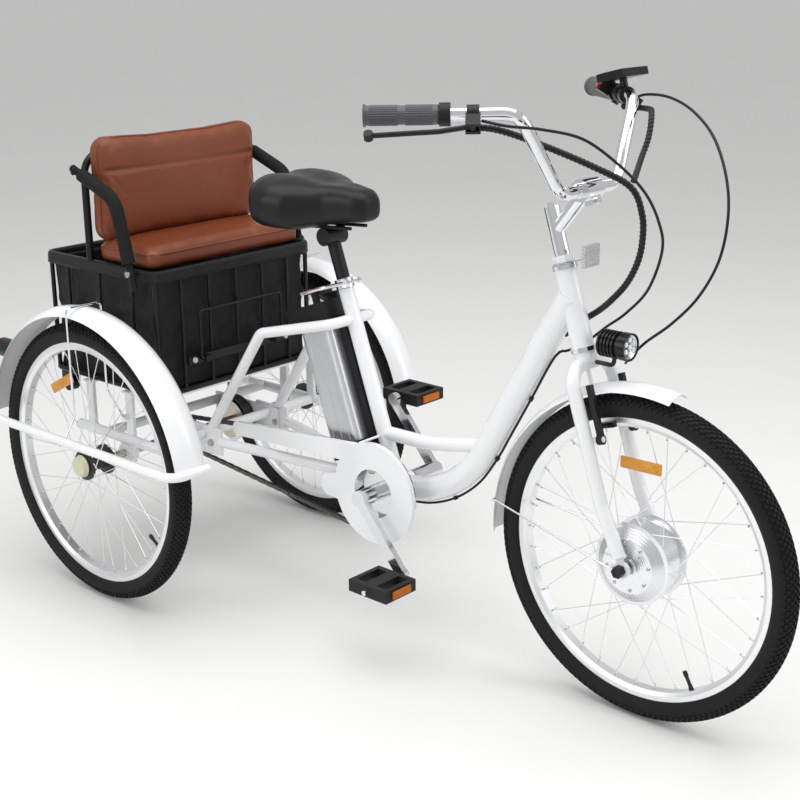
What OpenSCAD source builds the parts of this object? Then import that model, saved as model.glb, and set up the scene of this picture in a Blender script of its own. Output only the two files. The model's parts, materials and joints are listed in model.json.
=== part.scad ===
// Adult tricycle with a front hub motor, a step-through frame and a rear basket seat.
// +X points forward, +Y to the rider's left and +Z up. The origin is on the ground,
// under the middle of the machine.

/* [Overall] */
// Distance from the rear axle to the front axle
wheelbase = 1146; // [1060:10:1300]
// Distance between the two rear wheel planes
rear_track = 640; // [600:10:760]
// Outer radius of the tyres
tyre_r = 300; // [290:1:325]
// Radius of a tyre's round section
tyre_section_r = 24; // [20:1:26]
// Lean of the head tube from the vertical, in degrees
head_tilt = 17.25; // [15:0.25:20]

/* [Wheels] */
// Depth of a tyre's seat in its rim
tyre_seat = 7.5; // [5:0.5:10]
// Height of the rim's section
rim_h = 16.5; // [14:0.5:20]
// Half of the rim's width
rim_half_w = 13; // [11:0.5:15]
// Number of spokes in each wheel
spoke_count = 36; // [28:4:36]
// Spoke radius
spoke_r = 0.9; // [0.8:0.05:1]
// Flange radius of the hub motor
motor_r = 75; // [60:1:90]
// Radius of the front axle
front_axle_r = 6; // [5:0.5:7]
// Flange radius of the rear hubs
rear_flange_r = 32; // [28:1:38]
// Radius of the rear axle
rear_axle_r = 8.5; // [7:0.5:9]

/* [Front frame] */
// Bottom bracket centre, ahead of the rear axle
bracket_reach = 572; // [520:2:620]
// Outer radius of the head tube
head_tube_r = 20; // [18:0.5:24]
// Length of the head tube
head_tube_len = 138; // [110:2:150]
// Radius of the curved down tube
down_tube_r = 25; // [20:0.5:27]
// Radius of the brace tube between the seat tube and the down tube
brace_r = 14; // [10:0.5:16]
// Outer radius of the seat tube
seat_tube_r = 16; // [15:0.25:18]
// Length of the seat tube from the bottom bracket
seat_tube_len = 405; // [380:5:430]
// Lean of the seat tube from the vertical, in degrees
seat_lean = 19.5; // [17:0.5:21]
// Outer radius of the bottom bracket shell
bracket_r = 20; // [18:0.5:22]
// Half width of the bottom bracket shell
bracket_half_w = 34; // [30:0.5:36]
// Radius of the seat stays and chain stays
stay_r = 11; // [8:0.5:12]

/* [Steering] */
// Radius of the steerer tube
steerer_r = 14.3; // [13:0.1:15]
// Radius of the fork legs
leg_r = 12.5; // [10:0.5:13]
// Half distance between the fork legs
leg_y = 60; // [58:0.5:64]
// Forward offset of the front axle from the steering axis
fork_rake = 22.5; // [15:0.5:40]
// Radius of the quill where it slides in the steerer
quill_r = 11; // [10:0.1:12]
// Radius of the handlebar tube
bar_r = 11; // [10:0.1:11.5]
// Half width of the handlebar
bar_half_w = 317; // [290:1:340]
// Rise of the handlebar above its clamp
bar_rise = 139; // [100:1:160]
// Radius of the grips
grip_r = 16.5; // [15:0.5:18]
// Length of the grips
grip_len = 118; // [100:1:125]

/* [Drive] */
// Chain pitch
chain_pitch = 12.7; // [12.7]
// Teeth on the chainring
ring_teeth = 46; // [44:1:48]
// Teeth on the rear sprocket
sprocket_teeth = 18; // [16:1:20]
// Distance of the chain from the middle plane
chain_y = 60; // [58:0.5:61]
// Length of the cranks
crank_len = 170; // [150:1:175]
// Turn of the cranks from straight ahead, in degrees
crank_turn = -49.5; // [-60:0.5:-35]

/* [Rear carriage] */
// Distance from a wheel's plane to the side rail beside it
rail_inset = 88; // [84:1:110]
// Height of the rails above the axle
rail_rise = 28; // [26:1:34]
// Radius of the rails and cross tubes
rail_r = 11; // [9:0.5:12]
// Radius of the wheel guard hoops
hoop_r = 9.5; // [8:0.5:11]
// Height of the wheel guards above the axle
guard_rise = 61; // [50:1:80]
// Space between the tyres and the rear fenders' outer faces
fender_space = 36; // [32:1:50]

/* [Basket and seat] */
// Height of the basket's floor above the axle
basket_rise = 136; // [132:1:160]
// Length of the basket
basket_len = 366; // [340:2:380]
// Width of the basket
basket_w = 440; // [410:2:450]
// Height of the basket
basket_h = 268; // [230:2:290]
// Thickness of the cloth liner
liner_t = 3; // [2:0.5:4]
// Thickness of the seat cushion
cushion_t = 40; // [30:1:50]
// Height of the backrest cushion
backrest_h = 222; // [180:2:240]
// Thickness of the backrest cushion
backrest_t = 40; // [30:1:50]
// Length of the saddle
saddle_len = 268; // [240:2:290]
// Width of the saddle
saddle_w = 240; // [200:2:260]
// Radius of the seat post
post_r = 13.6; // [12.5:0.1:14]

/* [Battery] */
// Length of the battery case along the seat tube
battery_len = 262; // [230:2:280]
// Depth of the battery case
battery_d = 86; // [70:1:92]
// Width of the battery case
battery_w = 84; // [70:1:90]

/* [Fits] */
// Radial clearance of a running fit
fit = 0.06; // [0.02:0.01:0.1]
// Gap between neighbours that don't touch
gap = 0.3; // [0.2:0.05:0.4]
// Gap along a welded seam
seam = 0.1; // [0.05:0.01:0.2]

/* [Hidden] */
$fn = 48;

// Main stations
axle_z = tyre_r;
rim_r = tyre_r - 2 * tyre_section_r + tyre_seat;
rim_inner_r = rim_r - rim_h;
fender_r = tyre_r + fender_space;
guard_reach = sqrt(pow(fender_r + hoop_r + gap, 2) - pow(guard_rise, 2));
rear_x = -(wheelbase + tyre_r - guard_reach - hoop_r) / 2;
front_x = rear_x + wheelbase;
bb_x = rear_x + bracket_reach;
wheel_y = rear_track / 2;
rail_y = wheel_y - rail_inset;
rail_z = axle_z + rail_rise;
basket_z = axle_z + basket_rise;

// ---- helpers -------------------------------------------------------------

function unit(v) = v / norm(v);
function turn_angle(a, b, c) = acos(max(-1, min(1, unit(b - a) * unit(c - b))));
function setback(p, i, bend) =
    i == 0 || i == len(p) - 1 ? 0 : bend * tan(turn_angle(p[i - 1], p[i], p[i + 1]) / 2);

// Turns +Z to the direction d, with the foot at point a
module aim(a, d)
    translate(a) rotate([0, acos(d.z / norm(d)), atan2(d.y, d.x)]) children();

module rod(a, b, r) aim(a, b - a) cylinder(h = norm(b - a), r = r);

// An elbow at corner b of the path a-b-c
module elbow(a, b, c, r, bend) {
    u = unit(b - a);
    v = unit(c - b);
    angle = turn_angle(a, b, c);
    middle = b + unit(v - u) * bend / cos(angle / 2);
    start = b - u * bend * tan(angle / 2);
    e = unit(start - middle);
    n = cross(e, u);
    multmatrix([[e.x, u.x, n.x, middle.x], [e.y, u.y, n.y, middle.y],
                [e.z, u.z, n.z, middle.z], [0, 0, 0, 1]])
        rotate_extrude(angle = angle) translate([bend, 0]) circle(r);
}

// A round tube bent along the corners of a path
module bent_tube(path, r, bend) {
    for (i = [0 : len(path) - 2]) {
        d = unit(path[i + 1] - path[i]);
        rod(path[i] + d * setback(path, i, bend), path[i + 1] - d * setback(path, i + 1, bend), r);
    }
    if (len(path) > 2)
        for (i = [1 : len(path) - 2])
            elbow(path[i - 1], path[i], path[i + 1], r, bend);
}

// A cylinder along Y, centred at p
module pin_y(p, r, h) translate(p) rotate([90, 0, 0]) cylinder(h = h, r = r, center = true);

module both_sides() {
    children();
    mirror([0, 1, 0]) children();
}

// A box with rounded upright edges, centred in X and Y
module pad(size, corner)
    linear_extrude(size.z)
        offset(corner, $fn = 24) square([size.x - 2 * corner, size.y - 2 * corner], center = true);

// A tube swept through stations, each a point and a direction
function carried(q, i, side) =
    let (t = q[i][1], s = unit(side - t * (side * t)))
    i == len(q) - 1 ? [s] : concat([s], carried(q, i + 1, s));

module sweep(q, r, sides) {
    across = carried(q, 0, [0.31, 0.87, 0.39]);
    rings = [for (i = [0 : len(q) - 1]) for (k = [0 : sides - 1])
        let (s = across[i], b = cross(q[i][1], s), a = 360 * k / sides)
        q[i][0] + r * (cos(a) * s + sin(a) * b)];
    last = len(q) - 1;
    faces = concat(
        [[for (k = [0 : sides - 1]) k]],
        [for (i = [0 : last - 1]) for (k = [0 : sides - 1])
            let (j = (k + 1) % sides)
            [i * sides + k, (i + 1) * sides + k, (i + 1) * sides + j, i * sides + j]],
        [[for (k = [sides - 1 : -1 : 0]) last * sides + k]]);
    polyhedron(points = rings, faces = faces);
}

// Stations round the corner a-b-c of a path
function corner(a, b, c, bend, steps) =
    let (u = unit(b - a), v = unit(c - b), angle = turn_angle(a, b, c),
        middle = b + unit(v - u) * bend / cos(angle / 2),
        e = unit(b - u * bend * tan(angle / 2) - middle))
    [for (k = [0 : steps]) let (t = angle * k / steps)
        [middle + bend * (e * cos(t) + u * sin(t)), u * cos(t) - e * sin(t)]];

// A smooth tube along the corners of a path, for bends in any plane
module swept_tube(path, r, bend, sides = 20, steps = 6) {
    n = len(path) - 1;
    q = concat([[path[0], unit(path[1] - path[0])]],
        [for (i = [1 : 1 : n - 1]) each corner(path[i - 1], path[i], path[i + 1], bend, steps)],
        [[path[n], unit(path[n] - path[n - 1])]]);
    sweep(q, r, sides);
}

// A cable through hand-placed points, on a Catmull-Rom curve
function curve_at(p, i, t) =
    let (a = p[max(i - 1, 0)], b = p[i], c = p[i + 1], d = p[min(i + 2, len(p) - 1)])
    0.5 * (2 * b + (c - a) * t + (2 * a - 5 * b + 4 * c - d) * t * t
        + (3 * b - a - 3 * c + d) * t * t * t);
module cable(points, r, sides, steps) {
    q = concat([for (i = [0 : len(points) - 2]) for (k = [0 : steps - 1]) curve_at(points, i, k / steps)],
        [points[len(points) - 1]]);
    sweep([for (i = [0 : len(q) - 1]) [q[i], unit(q[min(i + 1, len(q) - 1)] - q[max(i - 1, 0)])]], r, sides);
}

// ---- steering axis -------------------------------------------------------
// Steering places are given as [u, y, w]: u forward of the axis, w along it from axle height.

steer_foot = [front_x - fork_rake / cos(head_tilt), 0, axle_z];
axle_w = -fork_rake * tan(head_tilt);
head_w = tyre_r + 80;
cup_h = 8;
head_top_w = head_w + head_tube_len;
crown_top_w = head_w - cup_h - gap;
bracket_ring_w = head_top_w + cup_h + gap;
top_nut_w = bracket_ring_w + 3;
steerer_top_w = top_nut_w + 13;
quill_top_w = steerer_top_w + 86;
stem_reach = 81;
stem_w = quill_top_w + 13;

function steered(p) = steer_foot
    + [p.x * cos(head_tilt) - p.z * sin(head_tilt), p.y, p.x * sin(head_tilt) + p.z * cos(head_tilt)];
module steer() translate(steer_foot) rotate([0, -head_tilt, 0]) children();

bar_c = steered([stem_reach, 0, stem_w]);

module head_tube() color("white") {
    steer() difference() {
        translate([0, 0, head_w]) cylinder(h = head_tube_len, r = head_tube_r);
        translate([0, 0, head_w - 1]) cylinder(h = head_tube_len + 2, r = steerer_r + 2);
    }
    for (w = [head_w - cup_h, head_top_w])
        steer() translate([0, 0, w]) difference() {
            cylinder(h = cup_h, r = head_tube_r + 3);
            translate([0, 0, -1]) cylinder(h = cup_h + 2, r = steerer_r + fit);
        }
}

// ---- front frame ---------------------------------------------------------

bb = [bb_x, 0, axle_z];
function on_seat_tube(s) = bb + s * [-sin(seat_lean), 0, cos(seat_lean)];
head_low = steered([0, 0, head_w + 14]);
head_join = steered([0, 0, head_w + 92]);
down_path = [head_join, [head_join.x - 255, 0, axle_z + 1], bb];
down_bend = 250;
brace_path = [on_seat_tube(108), on_seat_tube(108) + [118, 0, 2], on_seat_tube(108) + [262, 0, 30]];

module down_tube() color("white") {
    difference() {
        swept_tube(down_path, down_tube_r, down_bend, 32, 12);
        steer() translate([0, 0, head_w - 60]) cylinder(h = head_tube_len + 120, r = head_tube_r + seam);
        pin_y(bb, bracket_r + seam, 2 * bracket_half_w);
        rod(on_seat_tube(0), on_seat_tube(200), seat_tube_r + seam);
    }
    difference() {
        swept_tube(brace_path, brace_r, 300, 24);
        rod(on_seat_tube(0), on_seat_tube(200), seat_tube_r + seam);
    }
}

module seat_tube() color("white") {
    difference() {
        union() {
            pin_y(bb, bracket_r, 2 * bracket_half_w);
            rod(on_seat_tube(0), on_seat_tube(seat_tube_len), seat_tube_r);
        }
        pin_y(bb, spindle_r + fit, 2 * bracket_half_w + 2);
        rod(on_seat_tube(seat_tube_len - 225), on_seat_tube(seat_tube_len + 2), post_r + fit);
    }
}

clamp_h = 20;
module seat_clamp() color("silver") {
    difference() {
        union() {
            rod(on_seat_tube(seat_tube_len + gap), on_seat_tube(seat_tube_len + clamp_h), seat_tube_r + 3);
            aim(on_seat_tube(seat_tube_len + clamp_h / 2), [-sin(seat_lean), 0, cos(seat_lean)])
                translate([seat_tube_r + 5, 0, 0]) cube([16, 22, clamp_h - 4], center = true);
        }
        rod(on_seat_tube(seat_tube_len - 1), on_seat_tube(seat_tube_len + clamp_h + 1), post_r + fit);
        aim(on_seat_tube(seat_tube_len + clamp_h / 2), [-sin(seat_lean), 0, cos(seat_lean)])
            translate([seat_tube_r + 6, 0, 0]) {
                cube([26, 4, clamp_h + 4], center = true);
                rotate([90, 0, 0]) cylinder(h = 40, r = 3 + fit, center = true);
            }
    }
}

lever_eye = on_seat_tube(seat_tube_len + clamp_h / 2)
    + (seat_tube_r + 6) * [cos(seat_lean), 0, sin(seat_lean)];
module release_lever() color("silver") {
    pin_y(lever_eye, 3, 52);
    pin_y(lever_eye + [0, 17, 0], 6, 6);
    pin_y(lever_eye + [0, -20, 0], 9, 10);
    difference() {
        swept_tube([lever_eye + [0, -21, 0], lever_eye + [-30, -50, -9],
            lever_eye + [-92, -52, -30]], 4, 30, 16);
        pin_y(lever_eye, 8.9, 40);
    }
}

// ---- rear frame ----------------------------------------------------------

plate_y = 94.3;
plate_t = 6;
plate_x0 = rear_x + 48;
plate_x1 = rear_x + 150;
plate_z0 = axle_z - 12;
plate_z1 = axle_z + 48;
bolt_z = axle_z + 12;
bolt_r = 4;
hex_r = 7.5;
bolt_x = [rear_x + 66, rear_x + 118];

stay_top = on_seat_tube(343);
stay_y = plate_y + plate_t / 2;
seat_stay_path = [stay_top, stay_top + [-6, battery_w / 2 + stay_r + 5, -2],
    [rear_x + 282, stay_y - 4, axle_z + 282], [rear_x + 118, stay_y, plate_z1 - 4]];

module seat_stays() color("white")
    both_sides() difference() {
        swept_tube(seat_stay_path, stay_r, 22);
        rod(on_seat_tube(200), on_seat_tube(seat_tube_len), seat_tube_r + seam);
        translate([rear_x, 0, 0]) cube([plate_x1 - rear_x + 20, 2 * stay_y, plate_z1 + gap]);
    }

chain_stay_path = [bb + [-2, 24, 2], bb + [-112, 27, 6], [plate_x1 - 6, stay_y, axle_z + 18]];
module chain_stays() color("white") {
    both_sides() {
        difference() {
            swept_tube(chain_stay_path, stay_r, 120);
            pin_y(bb, bracket_r + seam, 2 * bracket_half_w + 20);
            rod(on_seat_tube(0), on_seat_tube(200), seat_tube_r + seam);
            translate([rear_x, stay_y - 2 * plate_t, plate_z0])
                cube([plate_x1 - 20 - rear_x, 4 * plate_t, plate_z1 - plate_z0]);
        }
        difference() {
            translate([plate_x0, plate_y, plate_z0])
                cube([plate_x1 - plate_x0, plate_t, plate_z1 - plate_z0]);
            for (x = bolt_x)
                pin_y([x, plate_y, bolt_z], bolt_r + fit, 30);
            pin_y([cross_x[1], plate_y, rail_z], rail_r + gap, 30);
        }
    }
}

// ---- rear carriage -------------------------------------------------------

inner_y = 88;
cross_x = [rear_x - 74, rear_x + 92];
rail_x0 = rear_x - 170;
rail_x1 = rear_x + 120;
deck_z = basket_z - 4 - gap;
post_x = [rear_x - 130, rear_x + 6, rear_x + 96];

module rear_carriage() color("white") {
    difference() {
        union() {
            both_sides() {
                rod([rail_x0, rail_y, rail_z], [rail_x1, rail_y, rail_z], rail_r);
                // inner plate and its bearing boss
                translate([rear_x - 84, inner_y, axle_z - 18]) cube([210, plate_t, 62]);
                pin_y([rear_x, inner_y + 2, axle_z], 20, 12);
                // side bearing block under the rail
                translate([rear_x - 20, rail_y - 6, axle_z - 20]) cube([40, 12, rail_z - axle_z + 14]);
                pin_y([rear_x, rail_y, axle_z], 20, 24);
            }
            for (x = cross_x)
                rod([x, -rail_y, rail_z], [x, rail_y, rail_z], rail_r);
            for (x = post_x)
                both_sides() translate([x - 11, rail_y - 11, rail_z]) cube([22, 8, deck_z + 4 - rail_z]);
            for (x = post_x)
                translate([x - 13, -rail_y - 3, deck_z]) cube([26, 2 * rail_y + 6, 4]);
        }
        for (y = [-rail_y, -inner_y, inner_y, rail_y])
            pin_y([rear_x, y, axle_z], rear_axle_r + fit, 40);
        for (x = bolt_x)
            both_sides() pin_y([x, inner_y + 3, bolt_z], bolt_r + fit, 30);
    }
    for (x = bolt_x)
        both_sides() {
            pin_y([x, inner_y + 6, bolt_z], bolt_r, 26);
            translate([x, plate_y + plate_t + gap, bolt_z]) rotate([-90, 0, 0])
                cylinder(h = 6, r = hex_r, $fn = 6);
            translate([x, inner_y - gap, bolt_z]) rotate([90, 0, 0]) cylinder(h = 4, r = hex_r, $fn = 6);
        }
}

drum_y = 57;
module brake_housing() color("dimgray") {
    translate([rear_x, drum_y + 27 - gap, axle_z]) rotate([90, 0, 0]) difference() {
        cylinder(h = 23, r = 54);
        translate([0, 0, 3]) cylinder(h = 30, r = 49);
        translate([0, 0, -1]) cylinder(h = 5, r = rear_axle_r + 2);
        translate([-80, -80, -1]) cube([160, 46, 40]);
    }
}

arch_r = 50;
module fender_arc(outer, arch, half_w, from, to, thick)
    rotate([90, 0, 0]) rotate([0, 0, from]) rotate_extrude(angle = to - from)
        intersection() {
            translate([outer - arch, 0]) difference() {
                circle(arch);
                circle(arch - thick);
            }
            translate([outer - arch + sqrt(arch * arch - half_w * half_w), -half_w])
                square([arch, 2 * half_w]);
        }

fender_half_w = 38;
module rear_fenders() color("white")
    both_sides() translate([rear_x, wheel_y, axle_z])
        fender_arc(fender_r, arch_r, fender_half_w, 9, 171, 2);

stay_wire_r = 2.5;
fender_side_y = fender_half_w + 5;
guard_out = 68;
guard_z = axle_z + guard_rise;
stay_foot_y = rail_y - 3 + gap;
module fender_stays() color("silver")
    both_sides() {
        swept_tube([
            [rear_x, wheel_y + guard_out, guard_z + hoop_r + gap + 0.55 * stay_wire_r],
            [rear_x, wheel_y + fender_side_y, axle_z + 110],
            [rear_x, wheel_y + fender_side_y, axle_z + fender_r + stay_wire_r + gap],
            [rear_x, wheel_y - fender_side_y, axle_z + fender_r + stay_wire_r + gap],
            [rear_x, wheel_y - fender_side_y, axle_z + 150],
            [rear_x, stay_foot_y + 10, axle_z + 80]], stay_wire_r, 10, 12, 4);
        pin_y([rear_x, stay_foot_y + 6, axle_z + 78], 6, 12);
    }

module wheel_guards() color("white")
    both_sides() translate([rear_x, wheel_y, guard_z])
        bent_tube([[guard_reach, -22, 0], [guard_reach, guard_out, 0],
            [-guard_reach, guard_out, 0], [-guard_reach, -22, 0]], hoop_r, 30);

// ---- basket, seat and armrests -------------------------------------------

basket_x = rear_x - 78;
basket_top = basket_z + basket_h;
frame_r = 5.5;
bx = basket_len / 2;
by = basket_w / 2;

bar_y = [-150, -75, 0, 75, 150];
bar_x = [-110, 0, 110];
arch_x = rear_x - 103;
arch_tube_r = 8;
arch_top = axle_z + 626;
front_face = basket_x + bx;
footrest_z = basket_z + 67;
footrest_y = 116;
footrest_h = 105;
wire_r = 3;
crossbar_x = front_face + 3.5 + gap;
crossbar_t = 5;
footrest_x = crossbar_x + crossbar_t + 6;

corner_r = 20;
rail_x = bx - corner_r - gap;
rail_end = by - corner_r - gap;
rail_heights = [basket_z + frame_r, basket_top - frame_r];

module basket_frame() color("black") {
    // four flat panels of rails and upright bars
    for (s = [-1, 1]) {
        union() {
            for (z = rail_heights)
                rod([basket_x + s * bx, -rail_end, z], [basket_x + s * bx, rail_end, z], frame_r);
            for (y = bar_y)
                rod([basket_x + s * bx, y, rail_heights[0]], [basket_x + s * bx, y, rail_heights[1]], 3.5);
        }
        union() {
            for (z = rail_heights)
                rod([basket_x - rail_x, s * by, z], [basket_x + rail_x, s * by, z], frame_r);
            for (x = bar_x)
                rod([basket_x + x, s * by, rail_heights[0]], [basket_x + x, s * by, rail_heights[1]], 3.5);
        }
    }
    // corner posts, with a bend of the rail at each end
    for (s = [-1, 1])
        for (t = [-1, 1])
            translate([basket_x + s * (bx - corner_r), t * (by - corner_r), 0])
                mirror([s < 0 ? 1 : 0, 0, 0]) mirror([0, t < 0 ? 1 : 0, 0]) {
                    for (z = rail_heights)
                        translate([0, 0, z]) rotate_extrude(angle = 90) translate([corner_r, 0]) circle(frame_r);
                    translate([corner_r * cos(45), corner_r * sin(45), rail_heights[0]])
                        cylinder(h = rail_heights[1] - rail_heights[0], r = 5);
                }
    // floor bars
    for (y = [-150 : 50 : 150])
        rod([basket_x - bx + frame_r + gap, y, basket_z + 3], [basket_x + bx - frame_r - gap, y, basket_z + 3], 2.5);
    // bar across the front with the two footrest eyes
    translate([crossbar_x, -145, footrest_z - 9]) cube([crossbar_t, 290, 18]);
    for (s = [-1, 1]) {
        difference() {
            translate([crossbar_x + crossbar_t - 1, s * 100 - 7, footrest_z - 6]) cube([12, 14, 12]);
            pin_y([footrest_x, s * 100, footrest_z], wire_r + fit, 20);
        }
        translate([crossbar_x + crossbar_t + gap, s * 131, footrest_z])
            rotate([0, 90, 0]) cylinder(h = 4, r = 6, $fn = 6);
    }
    // parking roller under the rear corner
    for (y = [-212, -188])
        translate([basket_x - bx + 8, y - 1.5, basket_z - 42]) cube([30, 3, 46]);
    pin_y([basket_x - bx + 23, -200, basket_z - 34], 17, 20);
    pin_y([basket_x - bx + 23, -200, basket_z - 34], 3, 30);
}

// Arch behind the backrest, standing on the basket's side rails
module seat_arch() color("black")
    bent_tube([[arch_x, -by, basket_top + gap], [arch_x, -by, arch_top],
        [arch_x, by, arch_top], [arch_x, by, basket_top + gap]], arch_tube_r, 45);

liner_x = bx - frame_r - gap;
liner_y = by - frame_r - gap;
liner_z0 = basket_z + 6;
liner_z1 = basket_top - 2 * frame_r - 1;
module basket_liner() color("black")
    translate([basket_x, 0, liner_z0]) difference() {
        pad([2 * liner_x, 2 * liner_y, liner_z1 - liner_z0], 14);
        translate([0, 0, liner_t])
            pad([2 * (liner_x - liner_t), 2 * (liner_y - liner_t), basket_h], 14 - liner_t);
    }

cushion_z = basket_top + gap;
cushion_x0 = arch_x + arch_tube_r + gap;
cushion_x1 = front_face - 10;
module seat_cushion() color("sienna")
    translate([(cushion_x0 + cushion_x1) / 2, 0, cushion_z])
        pad([cushion_x1 - cushion_x0, 2 * by - 4, cushion_t], 24);

backrest_z = cushion_z + cushion_t + gap;
module backrest() color("sienna")
    translate([cushion_x0 + backrest_t, 0, backrest_z + backrest_h / 2]) rotate([0, -90, 0])
        pad([backrest_h, 2 * by + 8, backrest_t], 34);

foam_r = 14;
rest_y = by + 4 + foam_r + gap;
rest_path = [[rear_x + 66, rest_y, basket_top - 40], [rear_x + 20, rest_y, basket_top + 142],
    [arch_x - 14, rest_y, basket_top + 194]];
rest_bend = 55;
function on_rest(i, t) = rest_path[i] + t * (rest_path[i + 1] - rest_path[i]);
rest_bolt = [on_rest(0, 0.19).x, by + frame_r, basket_top - frame_r];
rest_back = [arch_x, by + arch_tube_r, on_rest(1, 0.9).z];
module armrests() color("black")
    both_sides() {
        swept_tube(rest_path, arch_tube_r, rest_bend);
        difference() {
            swept_tube([rest_path[0] + 0.3 * (rest_path[1] - rest_path[0]), rest_path[1],
                rest_path[1] + 0.78 * (rest_path[2] - rest_path[1])], foam_r, rest_bend);
            swept_tube(rest_path, arch_tube_r + gap, rest_bend);
        }
        // bolts to the basket's rail and to the arch
        for (q = [rest_bolt, rest_back]) {
            pin_y([q.x, rest_y + arch_tube_r + 1, q.z], 7, 4);
            translate([q.x, q.y + gap, q.z]) rotate([-90, 0, 0])
                cylinder(h = rest_y - q.y - arch_tube_r + 1, r = 3.5);
        }
    }

lamp_turn = 144;
lamp_at = [rear_x + fender_r * cos(lamp_turn), -wheel_y, axle_z + fender_r * sin(lamp_turn)];
module tail_lamp() color("black") {
    difference() {
        translate(lamp_at + [20, 0, 0]) rotate([0, -90, 0]) cylinder(h = 58, r = 21);
        pin_y([rear_x, -wheel_y, axle_z], fender_r + gap, 100);
    }
    translate(lamp_at + [-38 - gap, 0, 0]) rotate([0, -90, 0]) cylinder(h = 9, r = 19);
}

// ---- battery -------------------------------------------------------------
// Battery places use [p, y, s]: p behind the seat tube's axis, s along it.

battery_p = 36;
battery_s = 106;
rail_w = 26;
module behind_seat_tube() translate(bb) rotate([0, -seat_lean, 0]) mirror([1, 0, 0]) children();

module battery_dock() color("black") behind_seat_tube() {
    translate([seat_tube_r + gap, -rail_w / 2, battery_s - 30])
        cube([battery_p - seat_tube_r - 2 * gap, rail_w, battery_len + 20]);
    translate([battery_p - 6, -battery_w / 2, battery_s - 34])
        cube([battery_d + 4, battery_w, 34 - gap]);
}

module battery_case() color("silver") behind_seat_tube()
    translate([battery_p + battery_d / 2, 0, battery_s])
        pad([battery_d, battery_w, battery_len - 24], 12);

head_s = battery_s + battery_len - 24 + gap;
module battery_head() color("black") behind_seat_tube() {
    translate([battery_p, -battery_w / 2 + 2, head_s]) cube([battery_d + 28, battery_w - 4, 48]);
    translate([0, 0, head_s + 47]) rotate([90, 0, 90])
        translate([0, 0, battery_p + 20]) difference() {
            translate([-34, 0, 0]) cube([68, 24, 12]);
            translate([-24, -1, -1]) cube([48, 17, 14]);
        }
}

// ---- saddle --------------------------------------------------------------

saddle_back = [bb_x - 273.75, 0, axle_z + 552];
saddle_nose = [saddle_back.x + saddle_len - 84, 0, axle_z + 548];
function rail_at(x) = axle_z + 502
    + (x - saddle_back.x) * 12 / (saddle_nose.x - saddle_back.x) - 3.5 - 2 * gap;
module saddle() color("black") hull() {
    for (s = [-1, 1])
        translate(saddle_back + [0, s * (saddle_w / 2 - 46), 0]) scale([50, 46, 50]) sphere(1, $fn = 28);
    translate(saddle_nose) scale([34, 32, 34]) sphere(1, $fn = 28);
}

post_top_s = 498;
clamp_at = on_seat_tube(post_top_s) + [-4, 0, 15];
module seatpost() color("black") {
    rod(on_seat_tube(seat_tube_len - 170), on_seat_tube(post_top_s), post_r);
    pin_y(clamp_at, 18, 54);
    for (s = [-1, 1])
        rod([saddle_back.x + 4, s * 22, rail_at(saddle_back.x + 4)],
            [saddle_nose.x - 8, s * 22, rail_at(saddle_nose.x - 8)], 3.5);
}

// ---- drive ---------------------------------------------------------------

spindle_r = 8;
ring_r = chain_pitch / 2 / sin(180 / ring_teeth);
sprocket_r = chain_pitch / 2 / sin(180 / sprocket_teeth);
ring_t = 2.4;
tooth = 1.8;
chain_w = 9;
rear_c = [rear_x, axle_z];
bb_c = [bb_x, axle_z];

module toothed(r, teeth)
    polygon([for (i = [0 : teeth - 1]) for (k = [0 : 3])
        let (a = 360 / teeth * (i + [-0.34, -0.12, 0.12, 0.34][k]), q = r + [-3.6, tooth, tooth, -3.6][k])
        [q * cos(a), q * sin(a)]]);

module belt(grow)
    hull() {
        translate(rear_c) circle(sprocket_r + grow, $fn = 72);
        translate(bb_c) circle(ring_r + grow, $fn = 96);
    }

// Extrudes a side-view outline from y to y + t
module side_plate(y, t) translate([0, y + t, 0]) rotate([90, 0, 0]) linear_extrude(t) children();

module chain() color("dimgray")
    difference() {
        side_plate(-chain_y - chain_w / 2, chain_w) difference() {
            belt(4.2);
            belt(-4.2);
        }
        side_plate(-chain_y - ring_t / 2 - 0.5, ring_t + 1) difference() {
            belt(tooth + 0.6);
            belt(-6);
        }
    }

guard_r = ring_r + 11;
guard_y = chain_y + chain_w / 2 + 9;
guard_hole = 50;
guard_tail = [rear_x + 176, axle_z + 50];
module guard_outline(grow)
    union() {
        translate(bb_c) circle(guard_r + grow, $fn = 72);
        hull() {
            translate(bb_c + [-30, ring_r - 18]) circle(20 + grow, $fn = 32);
            translate(guard_tail) circle(15 + grow, $fn = 32);
        }
        hull() {
            translate(bb_c) circle(40 + grow, $fn = 32);
            translate(bb_c + [-120, -10]) circle(24 + grow, $fn = 32);
        }
    }
guard_post = [bb_x - (ring_r + 5.2) * tan(seat_lean), 0, axle_z + ring_r + 5.2];
tab_share = (chain_stay_path[1].x - guard_tail.x) / (chain_stay_path[1].x - chain_stay_path[2].x);
tab_at = chain_stay_path[1] + tab_share * (chain_stay_path[2] - chain_stay_path[1]);
tab_z = tab_at.z + stay_r + gap + 0.3;
module chainguard() color("white") {
    difference() {
        union() {
            side_plate(-guard_y - 2, 2) guard_outline(0);
            side_plate(-guard_y - 2, 10) difference() {
                guard_outline(0);
                guard_outline(-2);
            }
        }
        pin_y([bb_x, -guard_y, axle_z], guard_hole, 40);
    }
    // post to the seat tube, over the chain
    rod([guard_post.x, -guard_y + 0.5, guard_post.z], [guard_post.x, -seat_tube_r - gap, guard_post.z], 2.6);
    // tab on the chain stay
    translate([guard_tail.x - 7, -guard_y - 2, tab_z]) cube([14, 2, guard_tail.y - tab_z]);
    translate([guard_tail.x - 7, -tab_at.y - 4, tab_z]) cube([14, tab_at.y + 4 - guard_y, 3]);
}

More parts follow.
